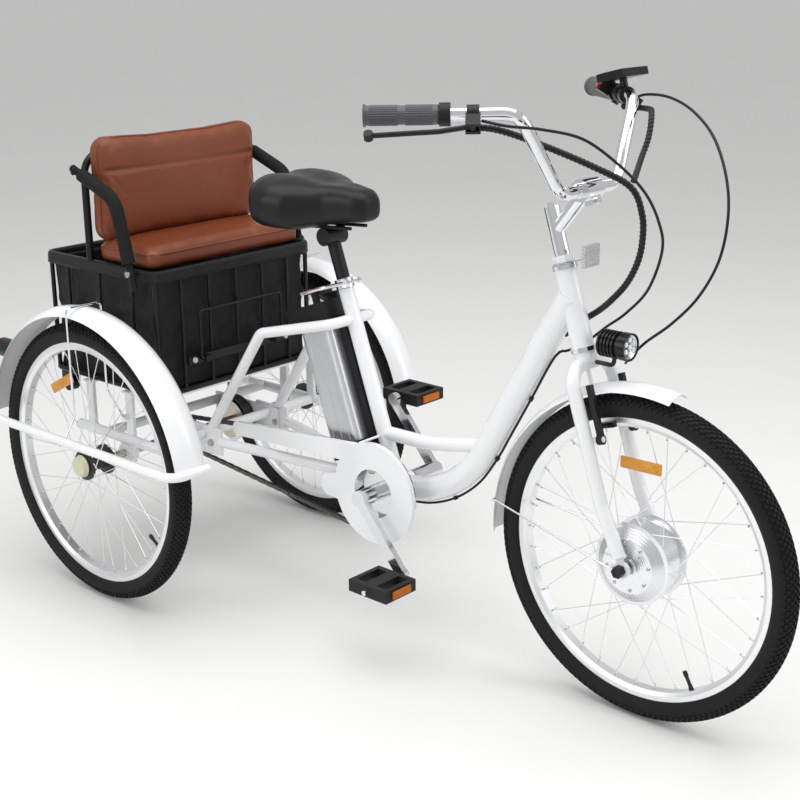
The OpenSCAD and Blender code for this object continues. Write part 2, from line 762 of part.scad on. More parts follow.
arm_y = 106;
arm_t = 12;
pedal_at = crank_len * [cos(crank_turn), 0, sin(crank_turn)];
module crank(side) {
    boss_in = side < 0 ? chain_y - 4 : bracket_half_w + 8;
    difference() {
        union() {
            pin_y(bb + [0, side * (arm_y + arm_t + boss_in) / 2, 0], 17, arm_y + arm_t - boss_in);
            translate(bb + [0, side * (arm_y + arm_t / 2), 0]) rotate([0, -crank_turn, 0])
                rotate([0, side < 0 ? 0 : 180, 0]) translate([0, -arm_t / 2, -11])
                    cube([crank_len, arm_t, 22]);
            pin_y(bb - side * pedal_at + [0, side * (arm_y + arm_t / 2), 0], 13, arm_t);
        }
        pin_y(bb, spindle_r + 0.03, 2 * arm_y - 4);
    }
    pin_y(bb - side * pedal_at + [0, side * (arm_y + arm_t + 52), 0], 5, 104 + 0.02);
}
module crankset() color("silver") {
    pin_y(bb, spindle_r, 2 * arm_y - 5);
    crank(-1);
    crank(1);
    translate([0, -chain_y, 0]) difference() {
        side_plate(-ring_t / 2, ring_t) translate(bb_c) toothed(ring_r, ring_teeth);
        pin_y(bb, 17.1, 10);
        for (i = [0 : 4])
            pin_y(bb + 56 * [cos(72 * i + 36), 0, sin(72 * i + 36)], 19, 10);
    }
}

module pedal(side) {
    p = bb - side * pedal_at + [0, side * (arm_y + arm_t + 52), 0];
    difference() {
        translate(p - [48, 42, 12]) cube([96, 84, 24]);
        pin_y(p, 5 + fit, 120);
        for (t = [-1, 1])
            translate(p + [t * 26 - 12, -30, -20]) cube([24, 60, 40]);
    }
    for (t = [-1, 1])
        translate(p + [t * (50 + gap) - 2, -24, -7]) cube([4, 48, 14]);
}
module right_pedal() color("black") pedal(-1);
module left_pedal() color("black") pedal(1);

module freewheel() color("silver")
    difference() {
        union() {
            side_plate(-chain_y - ring_t / 2, ring_t) translate(rear_c) toothed(sprocket_r, sprocket_teeth);
            pin_y([rear_x, -chain_y, axle_z], 23, 16);
        }
        pin_y([rear_x, -chain_y, axle_z], rear_axle_r + fit, 40);
    }

// ---- wheels --------------------------------------------------------------

// Turns a side-view ring [radius, width] about an axle at p
module ring_y(p) translate(p) rotate([90, 0, 0]) rotate_extrude($fn = 96) children();

front_c = [front_x, 0, axle_z];
right_c = [rear_x, -wheel_y, axle_z];
left_c = [rear_x, wheel_y, axle_z];

module tyre(p) ring_y(p)
    intersection() {
        translate([tyre_r - tyre_section_r, 0]) circle(tyre_section_r);
        translate([rim_r + gap, -50]) square(100);
    }

module rim(p) ring_y(p)
    polygon([[rim_inner_r, -9], [rim_inner_r, 9], [rim_inner_r + 7, rim_half_w], [rim_r, rim_half_w],
        [rim_r, rim_half_w - 2], [rim_inner_r + 9, rim_half_w - 3], [rim_inner_r + 7, 6],
        [rim_inner_r + 7, -6], [rim_inner_r + 9, 3 - rim_half_w], [rim_r, 2 - rim_half_w],
        [rim_r, -rim_half_w], [rim_inner_r + 7, -rim_half_w]]);

// Crossed spokes from two flanges; cross is the angle that a spoke turns through
module spokes(p, flange_r, flange_y, cross) {
    step = 720 / spoke_count;
    for (side = [-1, 1])
        for (i = [0 : spoke_count / 2 - 1]) {
            lean = i % 2 == 0 ? 1 : -1;
            a = step * i + (side < 0 ? 0 : step / 2);
            b = a + lean * cross;
            rod(p + [(flange_r + 1.1) * cos(a), side * flange_y + lean * 1.3, (flange_r + 1.1) * sin(a)],
                p + [(rim_inner_r - 0.5) * cos(b), side * 0.7 + lean * 1.5, (rim_inner_r - 0.5) * sin(b)],
                spoke_r);
        }
}

motor_flange_y = 27;
hub_flange_y = 26;
module front_tyre() color("dimgray") tyre(front_c);
module front_rim() color("silver") {
    rim(front_c);
    spokes(front_c, motor_r, motor_flange_y, 40);
}
module right_tyre() color("dimgray") tyre(right_c);
module right_rim() color("silver") {
    rim(right_c);
    spokes(right_c, rear_flange_r, hub_flange_y, 60);
}
module left_tyre() color("dimgray") tyre(left_c);
module left_rim() color("silver") {
    rim(left_c);
    spokes(left_c, rear_flange_r, hub_flange_y, 60);
}

motor_half_w = 44;
module hub_motor() color("silver") ring_y(front_c)
    polygon([[front_axle_r + fit, -motor_half_w - 4], [16, -motor_half_w - 4], [16, -motor_half_w],
        [50, -motor_half_w], [68, -motor_flange_y - 4], [motor_r, -motor_flange_y - 3],
        [motor_r, -motor_flange_y + 3], [69, -motor_flange_y + 4], [69, motor_flange_y - 4],
        [motor_r, motor_flange_y - 3], [motor_r, motor_flange_y + 3], [68, motor_flange_y + 4],
        [50, motor_half_w], [16, motor_half_w], [16, motor_half_w + 4],
        [front_axle_r + fit, motor_half_w + 4]]);

hub_in = 33;
hub_out = 34;
axle_half = wheel_y + hub_out;
// A rear hub, with its inner end at low radius width -hub_in, and its dust cap
module rear_hub(side) {
    c = [rear_x, side * wheel_y, axle_z];
    translate(c) rotate([side * -90, 0, 0]) {
        rotate_extrude() polygon([[rear_axle_r + fit, -hub_in], [17, -hub_in], [17, -hub_flange_y - 3],
            [rear_flange_r, -hub_flange_y - 3], [rear_flange_r, -hub_flange_y + 3], [17, -hub_flange_y + 6],
            [17, hub_flange_y - 6], [rear_flange_r, hub_flange_y - 3], [rear_flange_r, hub_flange_y + 3],
            [23, hub_flange_y + 4], [23, hub_out], [rear_axle_r + fit, hub_out]]);
        difference() {
            translate([0, 0, hub_out + gap]) cylinder(h = 10, r1 = 24, r2 = 20);
            translate([0, 0, hub_out]) cylinder(h = 4, r = rear_axle_r + 1);
        }
    }
}
module right_hub() color("dimgray") rear_hub(-1);
module left_hub() color("dimgray") rear_hub(1);

module rear_axle() color("silver") {
    pin_y([rear_x, 0, axle_z], rear_axle_r, 2 * axle_half + 2);
    translate([rear_x, drum_y, axle_z]) rotate([-90, 0, 0]) difference() {
        cylinder(h = 21, r = 46);
        translate([0, 0, 5]) cylinder(h = 30, r = 41);
        translate([0, 0, -1]) cylinder(h = 30, r = rear_axle_r + 0.03);
    }
    translate([rear_x, drum_y, axle_z]) rotate([-90, 0, 0]) difference() {
        translate([0, 0, 5.3]) cylinder(h = 14, r = 18);
        translate([0, 0, -1]) cylinder(h = 30, r = rear_axle_r + 0.03);
    }
}

// ---- fork and front wheel fittings ---------------------------------------

leg_top_w = crown_top_w - leg_r - 8;
leg_low_w = 16;
leg_path = [[6, 3, leg_top_w], [6, leg_y, leg_top_w], [9, leg_y, 110], [fork_rake, leg_y, leg_low_w]];
stud_w = 222;
stud_y = leg_y - 10;
stud_u = 26;

module fork() color("white") {
    steer() difference() {
        union() {
            translate([0, 0, leg_top_w - 10]) cylinder(h = crown_top_w - leg_top_w + 10, r = 20);
            translate([0, 0, leg_top_w]) cylinder(h = steerer_top_w - leg_top_w, r = steerer_r);
            translate([0, 0, top_nut_w + gap]) cylinder(h = 12.7, r = 19, $fn = 8);
            both_sides() {
                swept_tube(leg_path, leg_r, 36, 24);
                translate([fork_rake, leg_y, axle_w]) rotate([90, 0, 0])
                    cylinder(h = 8, r = 15, center = true);
                translate([fork_rake - 6, leg_y - 4, axle_w]) cube([12, 8, leg_low_w - axle_w + 6]);
                translate([fork_rake - 17, leg_y, axle_w + 4]) rotate([90, 0, 0])
                    cylinder(h = 8, r = 7, center = true);
                // brake stud
                translate([9, stud_y, stud_w]) rotate([0, 90, 0]) cylinder(h = stud_u + 12 - 9, r = 5);
            }
        }
        translate([0, 0, 440]) cylinder(h = 400, r = quill_r + fit);
        translate([fork_rake, 0, axle_w]) rotate([90, 0, 0])
            cylinder(h = 200, r = front_axle_r + fit, center = true);
    }
    // fixed motor axle with its nuts
    pin_y(front_c, front_axle_r, 2 * leg_y + 34);
    for (s = [-1, 1])
        translate(front_c + [0, s * (leg_y + 4 + gap), 0]) rotate([-s * 90, 0, 0]) {
            difference() {
                cylinder(h = 14, r = 11, $fn = 6);
                translate([0, 0, -1]) cylinder(h = 20, r = front_axle_r + 0.03);
            }
        }
}

module quill_stem() color("silver") {
    steer() difference() {
        union() {
            translate([0, 0, 450]) cylinder(h = steerer_top_w - 449, r = quill_r);
            translate([0, 0, steerer_top_w + gap]) cylinder(h = quill_top_w - steerer_top_w, r = 14);
            rod([0, 0, quill_top_w - 42], [stem_reach, 0, stem_w], 12.5);
            translate([stem_reach, 0, stem_w]) rotate([90, 0, 0]) cylinder(h = 46, r = 19, center = true);
            translate([stem_reach - 2, -14, stem_w - 27]) cube([16, 28, 18]);
        }
        translate([stem_reach, 0, stem_w]) rotate([90, 0, 0])
            cylinder(h = 60, r = centre_r + 0.03, center = true);
    }
    steer() translate([stem_reach + 6, 0, stem_w - 22]) {
        translate([8 + gap, 0, 0]) rotate([0, 90, 0]) cylinder(h = 5, r = 6, $fn = 6);
    }
    steer() translate([0, 0, quill_top_w + 2 * gap]) cylinder(h = 6, r = 7, $fn = 6);
}

centre_r = bar_r + 1.7;
centre_half = 38;
bend_low = [3, 81, 0];
bend_top = [-21, 164, bar_rise];
bar_end = [-212, bar_half_w, bar_rise - 3];
module handlebar() color("silver") translate(bar_c) {
    both_sides()
        difference() {
            swept_tube([[0, centre_half, 0], bend_low, bend_top, bar_end], bar_r, 40, 28, 8);
            pin_y([0, 0, 0], centre_r + 1, 2 * centre_half - 1);
        }
    pin_y([0, 0, 0], centre_r, 2 * centre_half);
}

// Frame of the right-hand grip: x from the bar's end inwards, y towards the brake lever
grip_d = unit([bend_top.x - bar_end.x, bar_end.y - bend_top.y, bend_top.z - bar_end.z]);
reach_0 = [0.527, -0.658, -0.536];
grip_m = unit(reach_0 - grip_d * (grip_d * reach_0));
grip_n = cross(grip_d, grip_m);
grip_o = bar_c + [bar_end.x, -bar_end.y, bar_end.z];
module at_right_grip()
    multmatrix([[grip_d.x, grip_m.x, grip_n.x, grip_o.x], [grip_d.y, grip_m.y, grip_n.y, grip_o.y],
                [grip_d.z, grip_m.z, grip_n.z, grip_o.z], [0, 0, 0, 1]]) children();
module at_left_grip() mirror([0, 1, 0]) at_right_grip() children();
module along_bar(x0, x1, r, bore)
    translate([x0, 0, 0]) rotate([0, 90, 0]) difference() {
        cylinder(h = x1 - x0, r = r);
        translate([0, 0, -1]) cylinder(h = x1 - x0 + 2, r = bore);
    }

module grip_shape() {
    along_bar(0, grip_len, grip_r, bar_r + fit);
    translate([-3, 0, 0]) rotate([0, 90, 0]) cylinder(h = 3 - gap, r = grip_r + 2);
}
module left_grip() color("dimgray") at_left_grip() grip_shape();
module throttle_grip() color("dimgray") at_right_grip() grip_shape();

collar_x = grip_len + gap;
perch_x = 172;
perch_reach = 30;
lever_bend = [120, 42];
lever_tip = [8, 50];
module perch() {
    difference() {
        union() {
            translate([perch_x - 10, 0, 0]) rotate([0, 90, 0]) cylinder(h = 20, r = 15);
            translate([perch_x - 12, 8, -10]) cube([24, perch_reach, 20]);
        }
        translate([0, 0, 0]) rotate([0, 90, 0]) cylinder(h = 300, r = bar_r + fit);
        translate([perch_x - 20, perch_reach - 12, -5]) cube([30, 40, 10]);
    }
    translate([perch_x, perch_reach, 0]) cylinder(h = 20, r = 3, center = true);
}
module lever_perches() color("black") {
    at_right_grip() {
        perch();
        along_bar(collar_x, collar_x + 18, 19, bar_r + fit);
    }
    at_left_grip() perch();
}

module brake_lever() {
    difference() {
        union() {
            translate([perch_x, perch_reach, 0]) cylinder(h = 9, r = 7, center = true);
            swept_tube([[perch_x - 4, perch_reach + 1, 0], [lever_bend.x, lever_bend.y, 0],
                [lever_tip.x, lever_tip.y, 0]], 4.3, 60, 16, 3);
            translate([lever_tip.x, lever_tip.y, 0]) cylinder(h = 13, r = 7.5, center = true);
        }
        translate([perch_x, perch_reach, 0]) cylinder(h = 40, r = 3 + fit, center = true);
    }
}
module right_brake_lever() color("black") at_right_grip() brake_lever();
module left_brake_lever() color("black") at_left_grip() brake_lever();

switch_x = 134;
pod_y = -34;
button_r = 4.5;
button_z = 7;
display_x = 200;
display_at = bar_c + [-67, 196, 168];
module display() color("black") {
    at_left_grip() {
        difference() {
            union() {
                along_bar(switch_x - 12, switch_x + 12, 16, bar_r + fit);
                translate([switch_x - 12, pod_y, -14]) cube([24, 22, 28]);
            }
            translate([switch_x - 20, 0, 0]) rotate([0, 90, 0]) cylinder(h = 40, r = bar_r + fit);
            for (z = [-button_z, button_z])
                translate([switch_x, pod_y - 1, z]) rotate([-90, 0, 0]) cylinder(h = 7, r = button_r + fit);
        }
    }
    difference() {
        union() {
            at_left_grip() translate([display_x - 8, 0, 0]) rotate([0, 90, 0]) cylinder(h = 16, r = 15);
            translate(display_at) rotate([0, -14, 0]) translate([0, 0, -30]) cylinder(h = 30, r = 7);
            translate(display_at) rotate([0, -14, 0]) translate([-28, -40, -2]) cube([56, 80, 14]);
        }
        at_left_grip() translate([display_x - 60, 0, 0]) rotate([0, 90, 0])
            cylinder(h = 120, r = bar_r + fit);
    }
}
module button(z) at_left_grip()
    translate([switch_x, pod_y - 3, z]) rotate([-90, 0, 0]) cylinder(h = 6, r = button_r);
module red_button() color("red") button(button_z);
module green_button() color("green") button(-button_z);

lamp_c = steered([0, 0, crown_top_w - 20]) + [60, 0, 42];
module headlamp() color("black") {
    translate(lamp_c) rotate([0, 90, 0]) {
        translate([0, 0, -28]) cylinder(h = 50, r = 20);
        for (i = [0 : 4])
            translate([0, 0, -26 + 7 * i]) cylinder(h = 4, r = 24);
        difference() {
            translate([0, 0, 14]) cylinder(h = 16, r = 24.5);
            translate([0, 0, 22 + gap]) cylinder(h = 16, r = 22);
        }
    }
    translate(lamp_c) rotate([0, 90, 0]) translate([0, 0, 22 + gap]) cylinder(h = 4, r = 21.5);
    swept_tube([steered([21.5, 0, crown_top_w - 22]), lamp_c + [-4, 0, -38], lamp_c + [-2, 0, -19]],
        4, 8, 12, 4);
}

module front_reflector() color("white") {
    steer() difference() {
        union() {
            translate([0, 0, bracket_ring_w]) cylinder(h = 3, r = 21);
            translate([0, -4, bracket_ring_w]) cube([52.4, 8, 3]);
        }
        cylinder(h = 900, r = steerer_r + fit);
    }
    steer() translate([49, -22, bracket_ring_w - 12]) rotate([0, head_tilt, 0]) cube([7, 44, 38]);
}

front_fender_r = tyre_r + 20;
module front_fender() color("white") {
    translate(front_c) fender_arc(front_fender_r, 40, 30, 79, 184, 2);
    // crown bolt
    bolt_foot = sqrt(pow(front_fender_r, 2) - pow(fork_rake, 2)) + axle_w;
    difference() {
        steer() translate([0, 0, bolt_foot - 0.5]) cylinder(h = leg_top_w - leg_r - gap - bolt_foot, r = 4);
        pin_y(front_c, front_fender_r - 1, 12);
    }
    // wire stays
    eye = steered([fork_rake - 17, leg_y + 4 + gap + 3, axle_w + 4]);
    tip = front_c + [12 - front_fender_r * cos(8), 30 + 2 + gap, (front_fender_r - 12) * sin(8) + 2];
    both_sides() {
        rod(eye, tip, 2);
        rod(eye - [0, 3, 0], eye + [0, 2, 0], 5);
        difference() {
            rod(tip - [0, 3.5, 0], tip + [0, 3, 0], 3.5);
            translate(front_c) fender_arc(front_fender_r + gap, 40 + gap, 30 + gap, 79, 184, 2 + 2 * gap);
        }
    }
}

arm_h = 96;
pad_w = stud_w + 20;
module brake_arm() steer() {
    difference() {
        union() {
            translate([stud_u + 1, stud_y, stud_w]) rotate([0, 90, 0]) cylinder(h = 10, r = 9);
            translate([stud_u + 1, stud_y - 6, stud_w]) cube([10, 9, arm_h]);
            translate([stud_u + 6, stud_y, pad_w]) rotate([90, 0, 0])
                cylinder(h = stud_y - rim_half_w - 8, r = 4);
            translate([10, rim_half_w + 2, pad_w - 6]) cube([36, 9, 9]);
        }
        translate([0, stud_y, stud_w]) rotate([0, 90, 0]) cylinder(h = 60, r = 5 + fit);
    }
}
module left_brake_arm() color("black") brake_arm();
module right_brake_arm() color("black") mirror([0, 1, 0]) brake_arm();

module footrest() color("black")
    bent_tube([[footrest_x, 88, footrest_z], [footrest_x, footrest_y, footrest_z],
        [footrest_x, footrest_y, footrest_z + footrest_h], [footrest_x, -footrest_y, footrest_z + footrest_h],
        [footrest_x, -footrest_y, footrest_z], [footrest_x, -88, footrest_z]], wire_r, 10);

// ---- cords ---------------------------------------------------------------

rear_cable_points = [
    [405, -214, 1066], [440, -194, 1058], [480, -156, 1052], [526, -110, 1036], [563, -66, 996],
    [592, -30, 950], [606, -6, 901], [610, 4, 852], [583, 10, 781], [536, 18, 731], [490, 28, 697],
    [454, 32, 668], [420, 18, 645], [402, 2, 634], [352, 0, 545], [306, 0, 464], [276, 0, 412],
    [232, 0, 353], [174, 0, 308], [106, 0, 280], [34, 2, 271], [-20, 14, 270], [-90, 30, 288],
    [-250, 62, 295], [-370, 82, 296], [-440, 76, 284], [-492, 68, 284]];
front_cable_points = [
    [405, 214, 1066], [450, 190, 1078], [510, 168, 1078], [577, 134, 1062], [636, 104, 1026],
    [682, 70, 970], [702, 48, 910], [696, 38, 840], [664, 34, 775], [616, 34, 722], [565, 36, 680],
    [530, 44, 645], [514, 56, 630]];
harness_points = [
    [372, -190, 1051], [400, -164, 1046], [440, -110, 1022], [506, -50, 984], [552, -8, 950],
    [570, 2, 905], [571, 4, 860], [562, 5, 822], [541, 7, 784], [508, 14, 750], [474, 28, 724],
    [439, 32, 700], [403, 28, 669]];
left_harness_points = [
    [402, 188, 1054.5], [464, 170, 1056], [500, 128, 1054], [514, 100, 1018], [520, 70, 985], [546, 10, 957]];

module rear_brake_cable() color("black") cable(rear_cable_points, 2.5, 8, 3);
module front_brake_cable() color("black") cable(front_cable_points, 2.5, 8, 4);
module wiring_harness() color("black") {
    cable(harness_points, 5.5, 10, 3);
    cable(left_harness_points, 5, 10, 4);
}

head_tube();
down_tube();
seat_tube();
seat_clamp();
seat_stays();
chain_stays();
chainguard();
chain();
rear_carriage();
brake_housing();
rear_fenders();
fender_stays();
wheel_guards();
basket_frame();
seat_arch();
basket_liner();
seat_cushion();
backrest();
armrests();
tail_lamp();
battery_dock();
rear_brake_cable();
wiring_harness();
seatpost();
saddle();
release_lever();
battery_case();
battery_head();
fork();
quill_stem();
handlebar();
left_grip();
throttle_grip();
lever_perches();
right_brake_lever();
left_brake_lever();
display();
red_button();
green_button();
headlamp();
front_reflector();
front_fender();
front_brake_cable();
right_brake_arm();
left_brake_arm();
front_tyre();
front_rim();
hub_motor();
rear_axle();
freewheel();
right_hub();
right_rim();
right_tyre();
left_hub();
left_rim();
left_tyre();
crankset();
right_pedal();
left_pedal();
footrest();
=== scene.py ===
import json
import math

import bmesh
import bpy
import numpy as np
from mathutils import Matrix, Vector


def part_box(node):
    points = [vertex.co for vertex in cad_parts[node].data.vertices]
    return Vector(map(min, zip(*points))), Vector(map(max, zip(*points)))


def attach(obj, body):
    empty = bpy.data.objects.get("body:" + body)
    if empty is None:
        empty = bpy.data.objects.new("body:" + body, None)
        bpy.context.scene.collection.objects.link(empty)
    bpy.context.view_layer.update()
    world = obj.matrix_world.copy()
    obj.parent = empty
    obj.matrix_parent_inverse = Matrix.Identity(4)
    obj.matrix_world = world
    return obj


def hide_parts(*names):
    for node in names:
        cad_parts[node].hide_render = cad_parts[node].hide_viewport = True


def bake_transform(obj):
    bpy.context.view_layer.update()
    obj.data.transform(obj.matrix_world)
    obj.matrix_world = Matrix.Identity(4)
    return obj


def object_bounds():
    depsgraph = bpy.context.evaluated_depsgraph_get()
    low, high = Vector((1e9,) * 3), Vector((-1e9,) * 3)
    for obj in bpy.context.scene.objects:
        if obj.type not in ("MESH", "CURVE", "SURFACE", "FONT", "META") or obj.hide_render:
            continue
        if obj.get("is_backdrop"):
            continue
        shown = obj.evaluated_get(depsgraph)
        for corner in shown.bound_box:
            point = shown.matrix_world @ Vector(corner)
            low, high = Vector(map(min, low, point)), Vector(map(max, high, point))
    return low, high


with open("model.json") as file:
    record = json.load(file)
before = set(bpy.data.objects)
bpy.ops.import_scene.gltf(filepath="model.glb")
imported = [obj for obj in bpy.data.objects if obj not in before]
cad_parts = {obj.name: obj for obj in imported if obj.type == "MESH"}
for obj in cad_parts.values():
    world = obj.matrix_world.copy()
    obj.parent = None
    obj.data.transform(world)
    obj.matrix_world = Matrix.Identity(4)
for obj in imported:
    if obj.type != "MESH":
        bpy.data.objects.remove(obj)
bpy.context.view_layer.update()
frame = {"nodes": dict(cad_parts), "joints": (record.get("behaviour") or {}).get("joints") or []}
nodes = frame["nodes"]

# ---- camera, floor and light ----------------------------------------------
# A long lens from the front right, a little above bar height, over a pale
# studio floor. Wide soft boxes overhead and to the sides give faint shadows.
axle_low, axle_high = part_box("rear_axle")
REAR_X = (axle_low.x + axle_high.x) / 2
CAMERA_AT = Vector((2.3954 + REAR_X, -1.9987, 1.325))
yaw, pitch, roll = 0.7378, 0.304, -0.0104
ahead = Vector((-math.sin(yaw) * math.cos(pitch), math.cos(yaw) * math.cos(pitch), -math.sin(pitch)))
level = Vector((math.cos(yaw), math.sin(yaw), 0))
upright = level.cross(ahead)
right = level * math.cos(roll) + upright * math.sin(roll)
up = upright * math.cos(roll) - level * math.sin(roll)
lens = bpy.data.cameras.new("camera")
lens.sensor_width = 36
lens.lens = 64.66
lens.clip_end = 100
camera = bpy.data.objects.new("camera", lens)
camera.matrix_world = Matrix.Translation(CAMERA_AT) @ Matrix((right, up, -ahead)).transposed().to_4x4()
bpy.context.scene.collection.objects.link(camera)
bpy.context.scene.camera = camera
bpy.context.scene.view_settings.view_transform = "Standard"


class Tone:
    """A shader socket that takes arithmetic with numbers and other tones."""

    def __init__(self, finish, socket):
        self.finish, self.socket = finish, socket

    def _maths(self, operation, *terms):
        return self.finish.node("ShaderNodeMath", {"operation": operation}, dict(enumerate(terms)))

    def __add__(self, other): return self._maths("ADD", self, other)
    def __radd__(self, other): return self._maths("ADD", other, self)
    def __sub__(self, other): return self._maths("SUBTRACT", self, other)
    def __rsub__(self, other): return self._maths("SUBTRACT", other, self)
    def __mul__(self, other): return self._maths("MULTIPLY", self, other)
    def __rmul__(self, other): return self._maths("MULTIPLY", other, self)
    def __truediv__(self, other): return self._maths("DIVIDE", self, other)
    def __pow__(self, other): return self._maths("POWER", self, other)
    def __gt__(self, other): return self._maths("GREATER_THAN", self, other)
    def __lt__(self, other): return self._maths("LESS_THAN", self, other)
    def __abs__(self): return self._maths("ABSOLUTE", self)
    def root(self): return self._maths("SQRT", self)
    def wave(self): return self._maths("SINE", self)


class Finish:
    """A material on the Principled shader, built from expressions."""

    def __init__(self, name, **sockets):
        self.material = bpy.data.materials.new(name)
        self.material.use_nodes = True
        self.tree = self.material.node_tree
        self.shader = self.tree.nodes["Principled BSDF"]
        for socket, value in sockets.items():
            self.shader.inputs[socket.replace("_", " ")].default_value = value

    def node(self, kind, settings, sockets, out=0):
        made = self.tree.nodes.new(kind)
        for key, value in settings.items():
            if key == "stops":
                ramp = made.color_ramp
                while len(ramp.elements) < len(value):
                    ramp.elements.new(1)
                for stop, (place, colour) in zip(ramp.elements, value):
                    stop.position, stop.color = place, (*colour, 1)
            else:
                setattr(made, key, value)
        for key, value in sockets.items():
            if isinstance(value, Tone):
                self.tree.links.new(value.socket, made.inputs[key])
            else:
                made.inputs[key].default_value = value
        return Tone(self, made.outputs[out])

    def place(self, centre=(0, 0, 0), turn=(0, 0, 0), scale=(1, 1, 1)):
        here = self.node("ShaderNodeTexCoord", {}, {}, "Object")
        back = tuple(-c for c in centre)
        moved = self.node("ShaderNodeMapping", {}, {"Vector": here, "Location": back})
        return self.node("ShaderNodeMapping", {}, {"Vector": moved, "Rotation": turn, "Scale": scale})

    def split(self, vector):
        made = self.node("ShaderNodeSeparateXYZ", {}, {0: vector})
        return [Tone(self, made.socket.node.outputs[i]) for i in range(3)]

    def noise(self, scale, detail=3, where=None, rough=0.5):
        return self.node("ShaderNodeTexNoise", {}, {
            "Vector": where or self.place(), "Scale": scale, "Detail": detail, "Roughness": rough})

    def cells(self, scale, where=None, feature="DISTANCE_TO_EDGE"):
        return self.node("ShaderNodeTexVoronoi", {"feature": feature}, {
            "Vector": where or self.place(), "Scale": scale})

    def blend(self, mask, a, b):
        mix = self.tree.nodes.new("ShaderNodeMix")
        mix.data_type = "RGBA"
        for key, value in ((0, mask), (6, a), (7, b)):
            if isinstance(value, Tone):
                self.tree.links.new(value.socket, mix.inputs[key])
            else:
                mix.inputs[key].default_value = (*value, 1) if key else value
        return Tone(self, mix.outputs[2])

    def feed(self, socket, tone):
        self.tree.links.new(tone.socket, self.shader.inputs[socket])

    def emboss(self, height, depth, strength=1.0):
        bump = self.node("ShaderNodeBump", {}, {"Height": height, "Distance": depth, "Strength": strength})
        self.feed("Normal", bump)


floor_finish = Finish("studio_floor", Roughness=0.42)
patch = floor_finish.noise(1.3, 3)
floor_finish.feed("Base Color", floor_finish.blend(patch, (0.80, 0.80, 0.79), (0.84, 0.84, 0.83)))
floor_mesh = bpy.data.meshes.new("studio_floor")
HALF = 40
floor_corners = [(-HALF, -HALF, 0), (HALF, -HALF, 0), (HALF, HALF, 0), (-HALF, HALF, 0)]
floor_mesh.from_pydata(floor_corners, [], [(0, 1, 2, 3)])
floor = bpy.data.objects.new("studio_floor", floor_mesh)
floor.data.materials.append(floor_finish.material)
bpy.context.scene.collection.objects.link(floor)
floor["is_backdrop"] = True

world = bpy.data.worlds.new("studio")
world.use_nodes = True
world.node_tree.nodes["Background"].inputs["Color"].default_value = (1, 1, 1, 1)
world.node_tree.nodes["Background"].inputs["Strength"].default_value = 0.6
bpy.context.scene.world = world


def soft_box(name, place, aim, size, power):
    light = bpy.data.lights.new(name, "AREA")
    light.shape = "RECTANGLE"
    light.size, light.size_y, light.energy = size[0], size[1], power
    lamp = bpy.data.objects.new(name, light)
    lamp.location = place
    lamp.rotation_euler = (Vector(aim) - Vector(place)).to_track_quat("-Z", "Y").to_euler()
    bpy.context.scene.collection.objects.link(lamp)


soft_box("overhead", (0.2, -0.3, 3.6), (0, 0, 0.3), (4.2, 3.2), 95)
soft_box("front_left", (3.2, 1.6, 2.2), (0, 0, 0.6), (2.0, 2.4), 34)
soft_box("right_side", (-0.8, -3.6, 2.0), (0, 0, 0.5), (2.8, 2.0), 40)

# ---- white enamelled frame, fork and guards --------------------------------
# Welded steel tube, sprayed with a thick glossy white enamel. The axle nuts,
# bolt heads and cups that share a node with it are dark or bright metal.
ENAMEL = (0.84, 0.85, 0.86)
STEEL = (0.46, 0.46, 0.45)


def enamel(name, metal_where=None, metal_colour=STEEL, metal_rough=0.32):
    """White enamel, with bare metal where metal_where(finish) is 1."""
    finish = Finish(name, IOR=1.5, Coat_Roughness=0.04)
    cloud = finish.noise(9, 4)
    white = finish.blend(cloud, tuple(c * 0.975 for c in ENAMEL), ENAMEL)
    rough = 0.2 + 0.08 * finish.noise(31, 4)
    if metal_where is None:
        finish.feed("Base Color", white)
        finish.feed("Roughness", rough)
        finish.shader.inputs["Coat Weight"].default_value = 0.6
    else:
        bare = metal_where(finish)
        finish.feed("Base Color", finish.blend(bare, white, metal_colour))
        finish.feed("Roughness", rough + bare * (metal_rough - 0.24))
        finish.feed("Metallic", bare)
        finish.feed("Coat Weight", 0.6 - 0.6 * bare)
    finish.emboss(finish.noise(260, 2), 0.0004, 0.12)
    return finish.material


def dress(names, material):
    for name in names.split():
        nodes[name].data.materials.clear()
        nodes[name].data.materials.append(material)


def beyond(axis, edge, centre=(0, 0, 0)):
    """A mask of what lies further than edge from the centre along an axis."""
    def mask(finish):
        return abs(finish.split(finish.place(centre))[axis]) > edge
    return mask


dress("down_tube seat_tube seat_stays chain_stays chainguard rear_fenders wheel_guards",
      enamel("white_enamel"))

wheel_low, wheel_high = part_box("front_tyre")
FRONT_X = (wheel_low.x + wheel_high.x) / 2
AXLE_Z = (wheel_low.z + wheel_high.z) / 2
TYRE_R = (wheel_high.z - wheel_low.z) / 2
TRACK_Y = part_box("left_tyre")[0].y + (wheel_high.y - wheel_low.y) / 2
front_axle = Vector((FRONT_X, 0, AXLE_Z))
right_axle = Vector((REAR_X, -TRACK_Y, AXLE_Z))
left_axle = Vector((REAR_X, TRACK_Y, AXLE_Z))


NUT_R = 0.0125
DROPOUT_IN, DROPOUT_OUT = 0.0555, 0.0641


def fork_metal(finish):
    """The axle and its nuts, outside the drop-outs."""
    x, y, z = finish.split(finish.place(front_axle))
    near = (x * x + z * z) < NUT_R ** 2
    outside = (abs(y) > DROPOUT_OUT) + (abs(y) < DROPOUT_IN)
    return near * (outside > 0.5)


dress("fork", enamel("fork_enamel", fork_metal, (0.045, 0.045, 0.05), 0.4))

def joint_named(name):
    return [j for j in frame["joints"] if j["name"] == name][0]


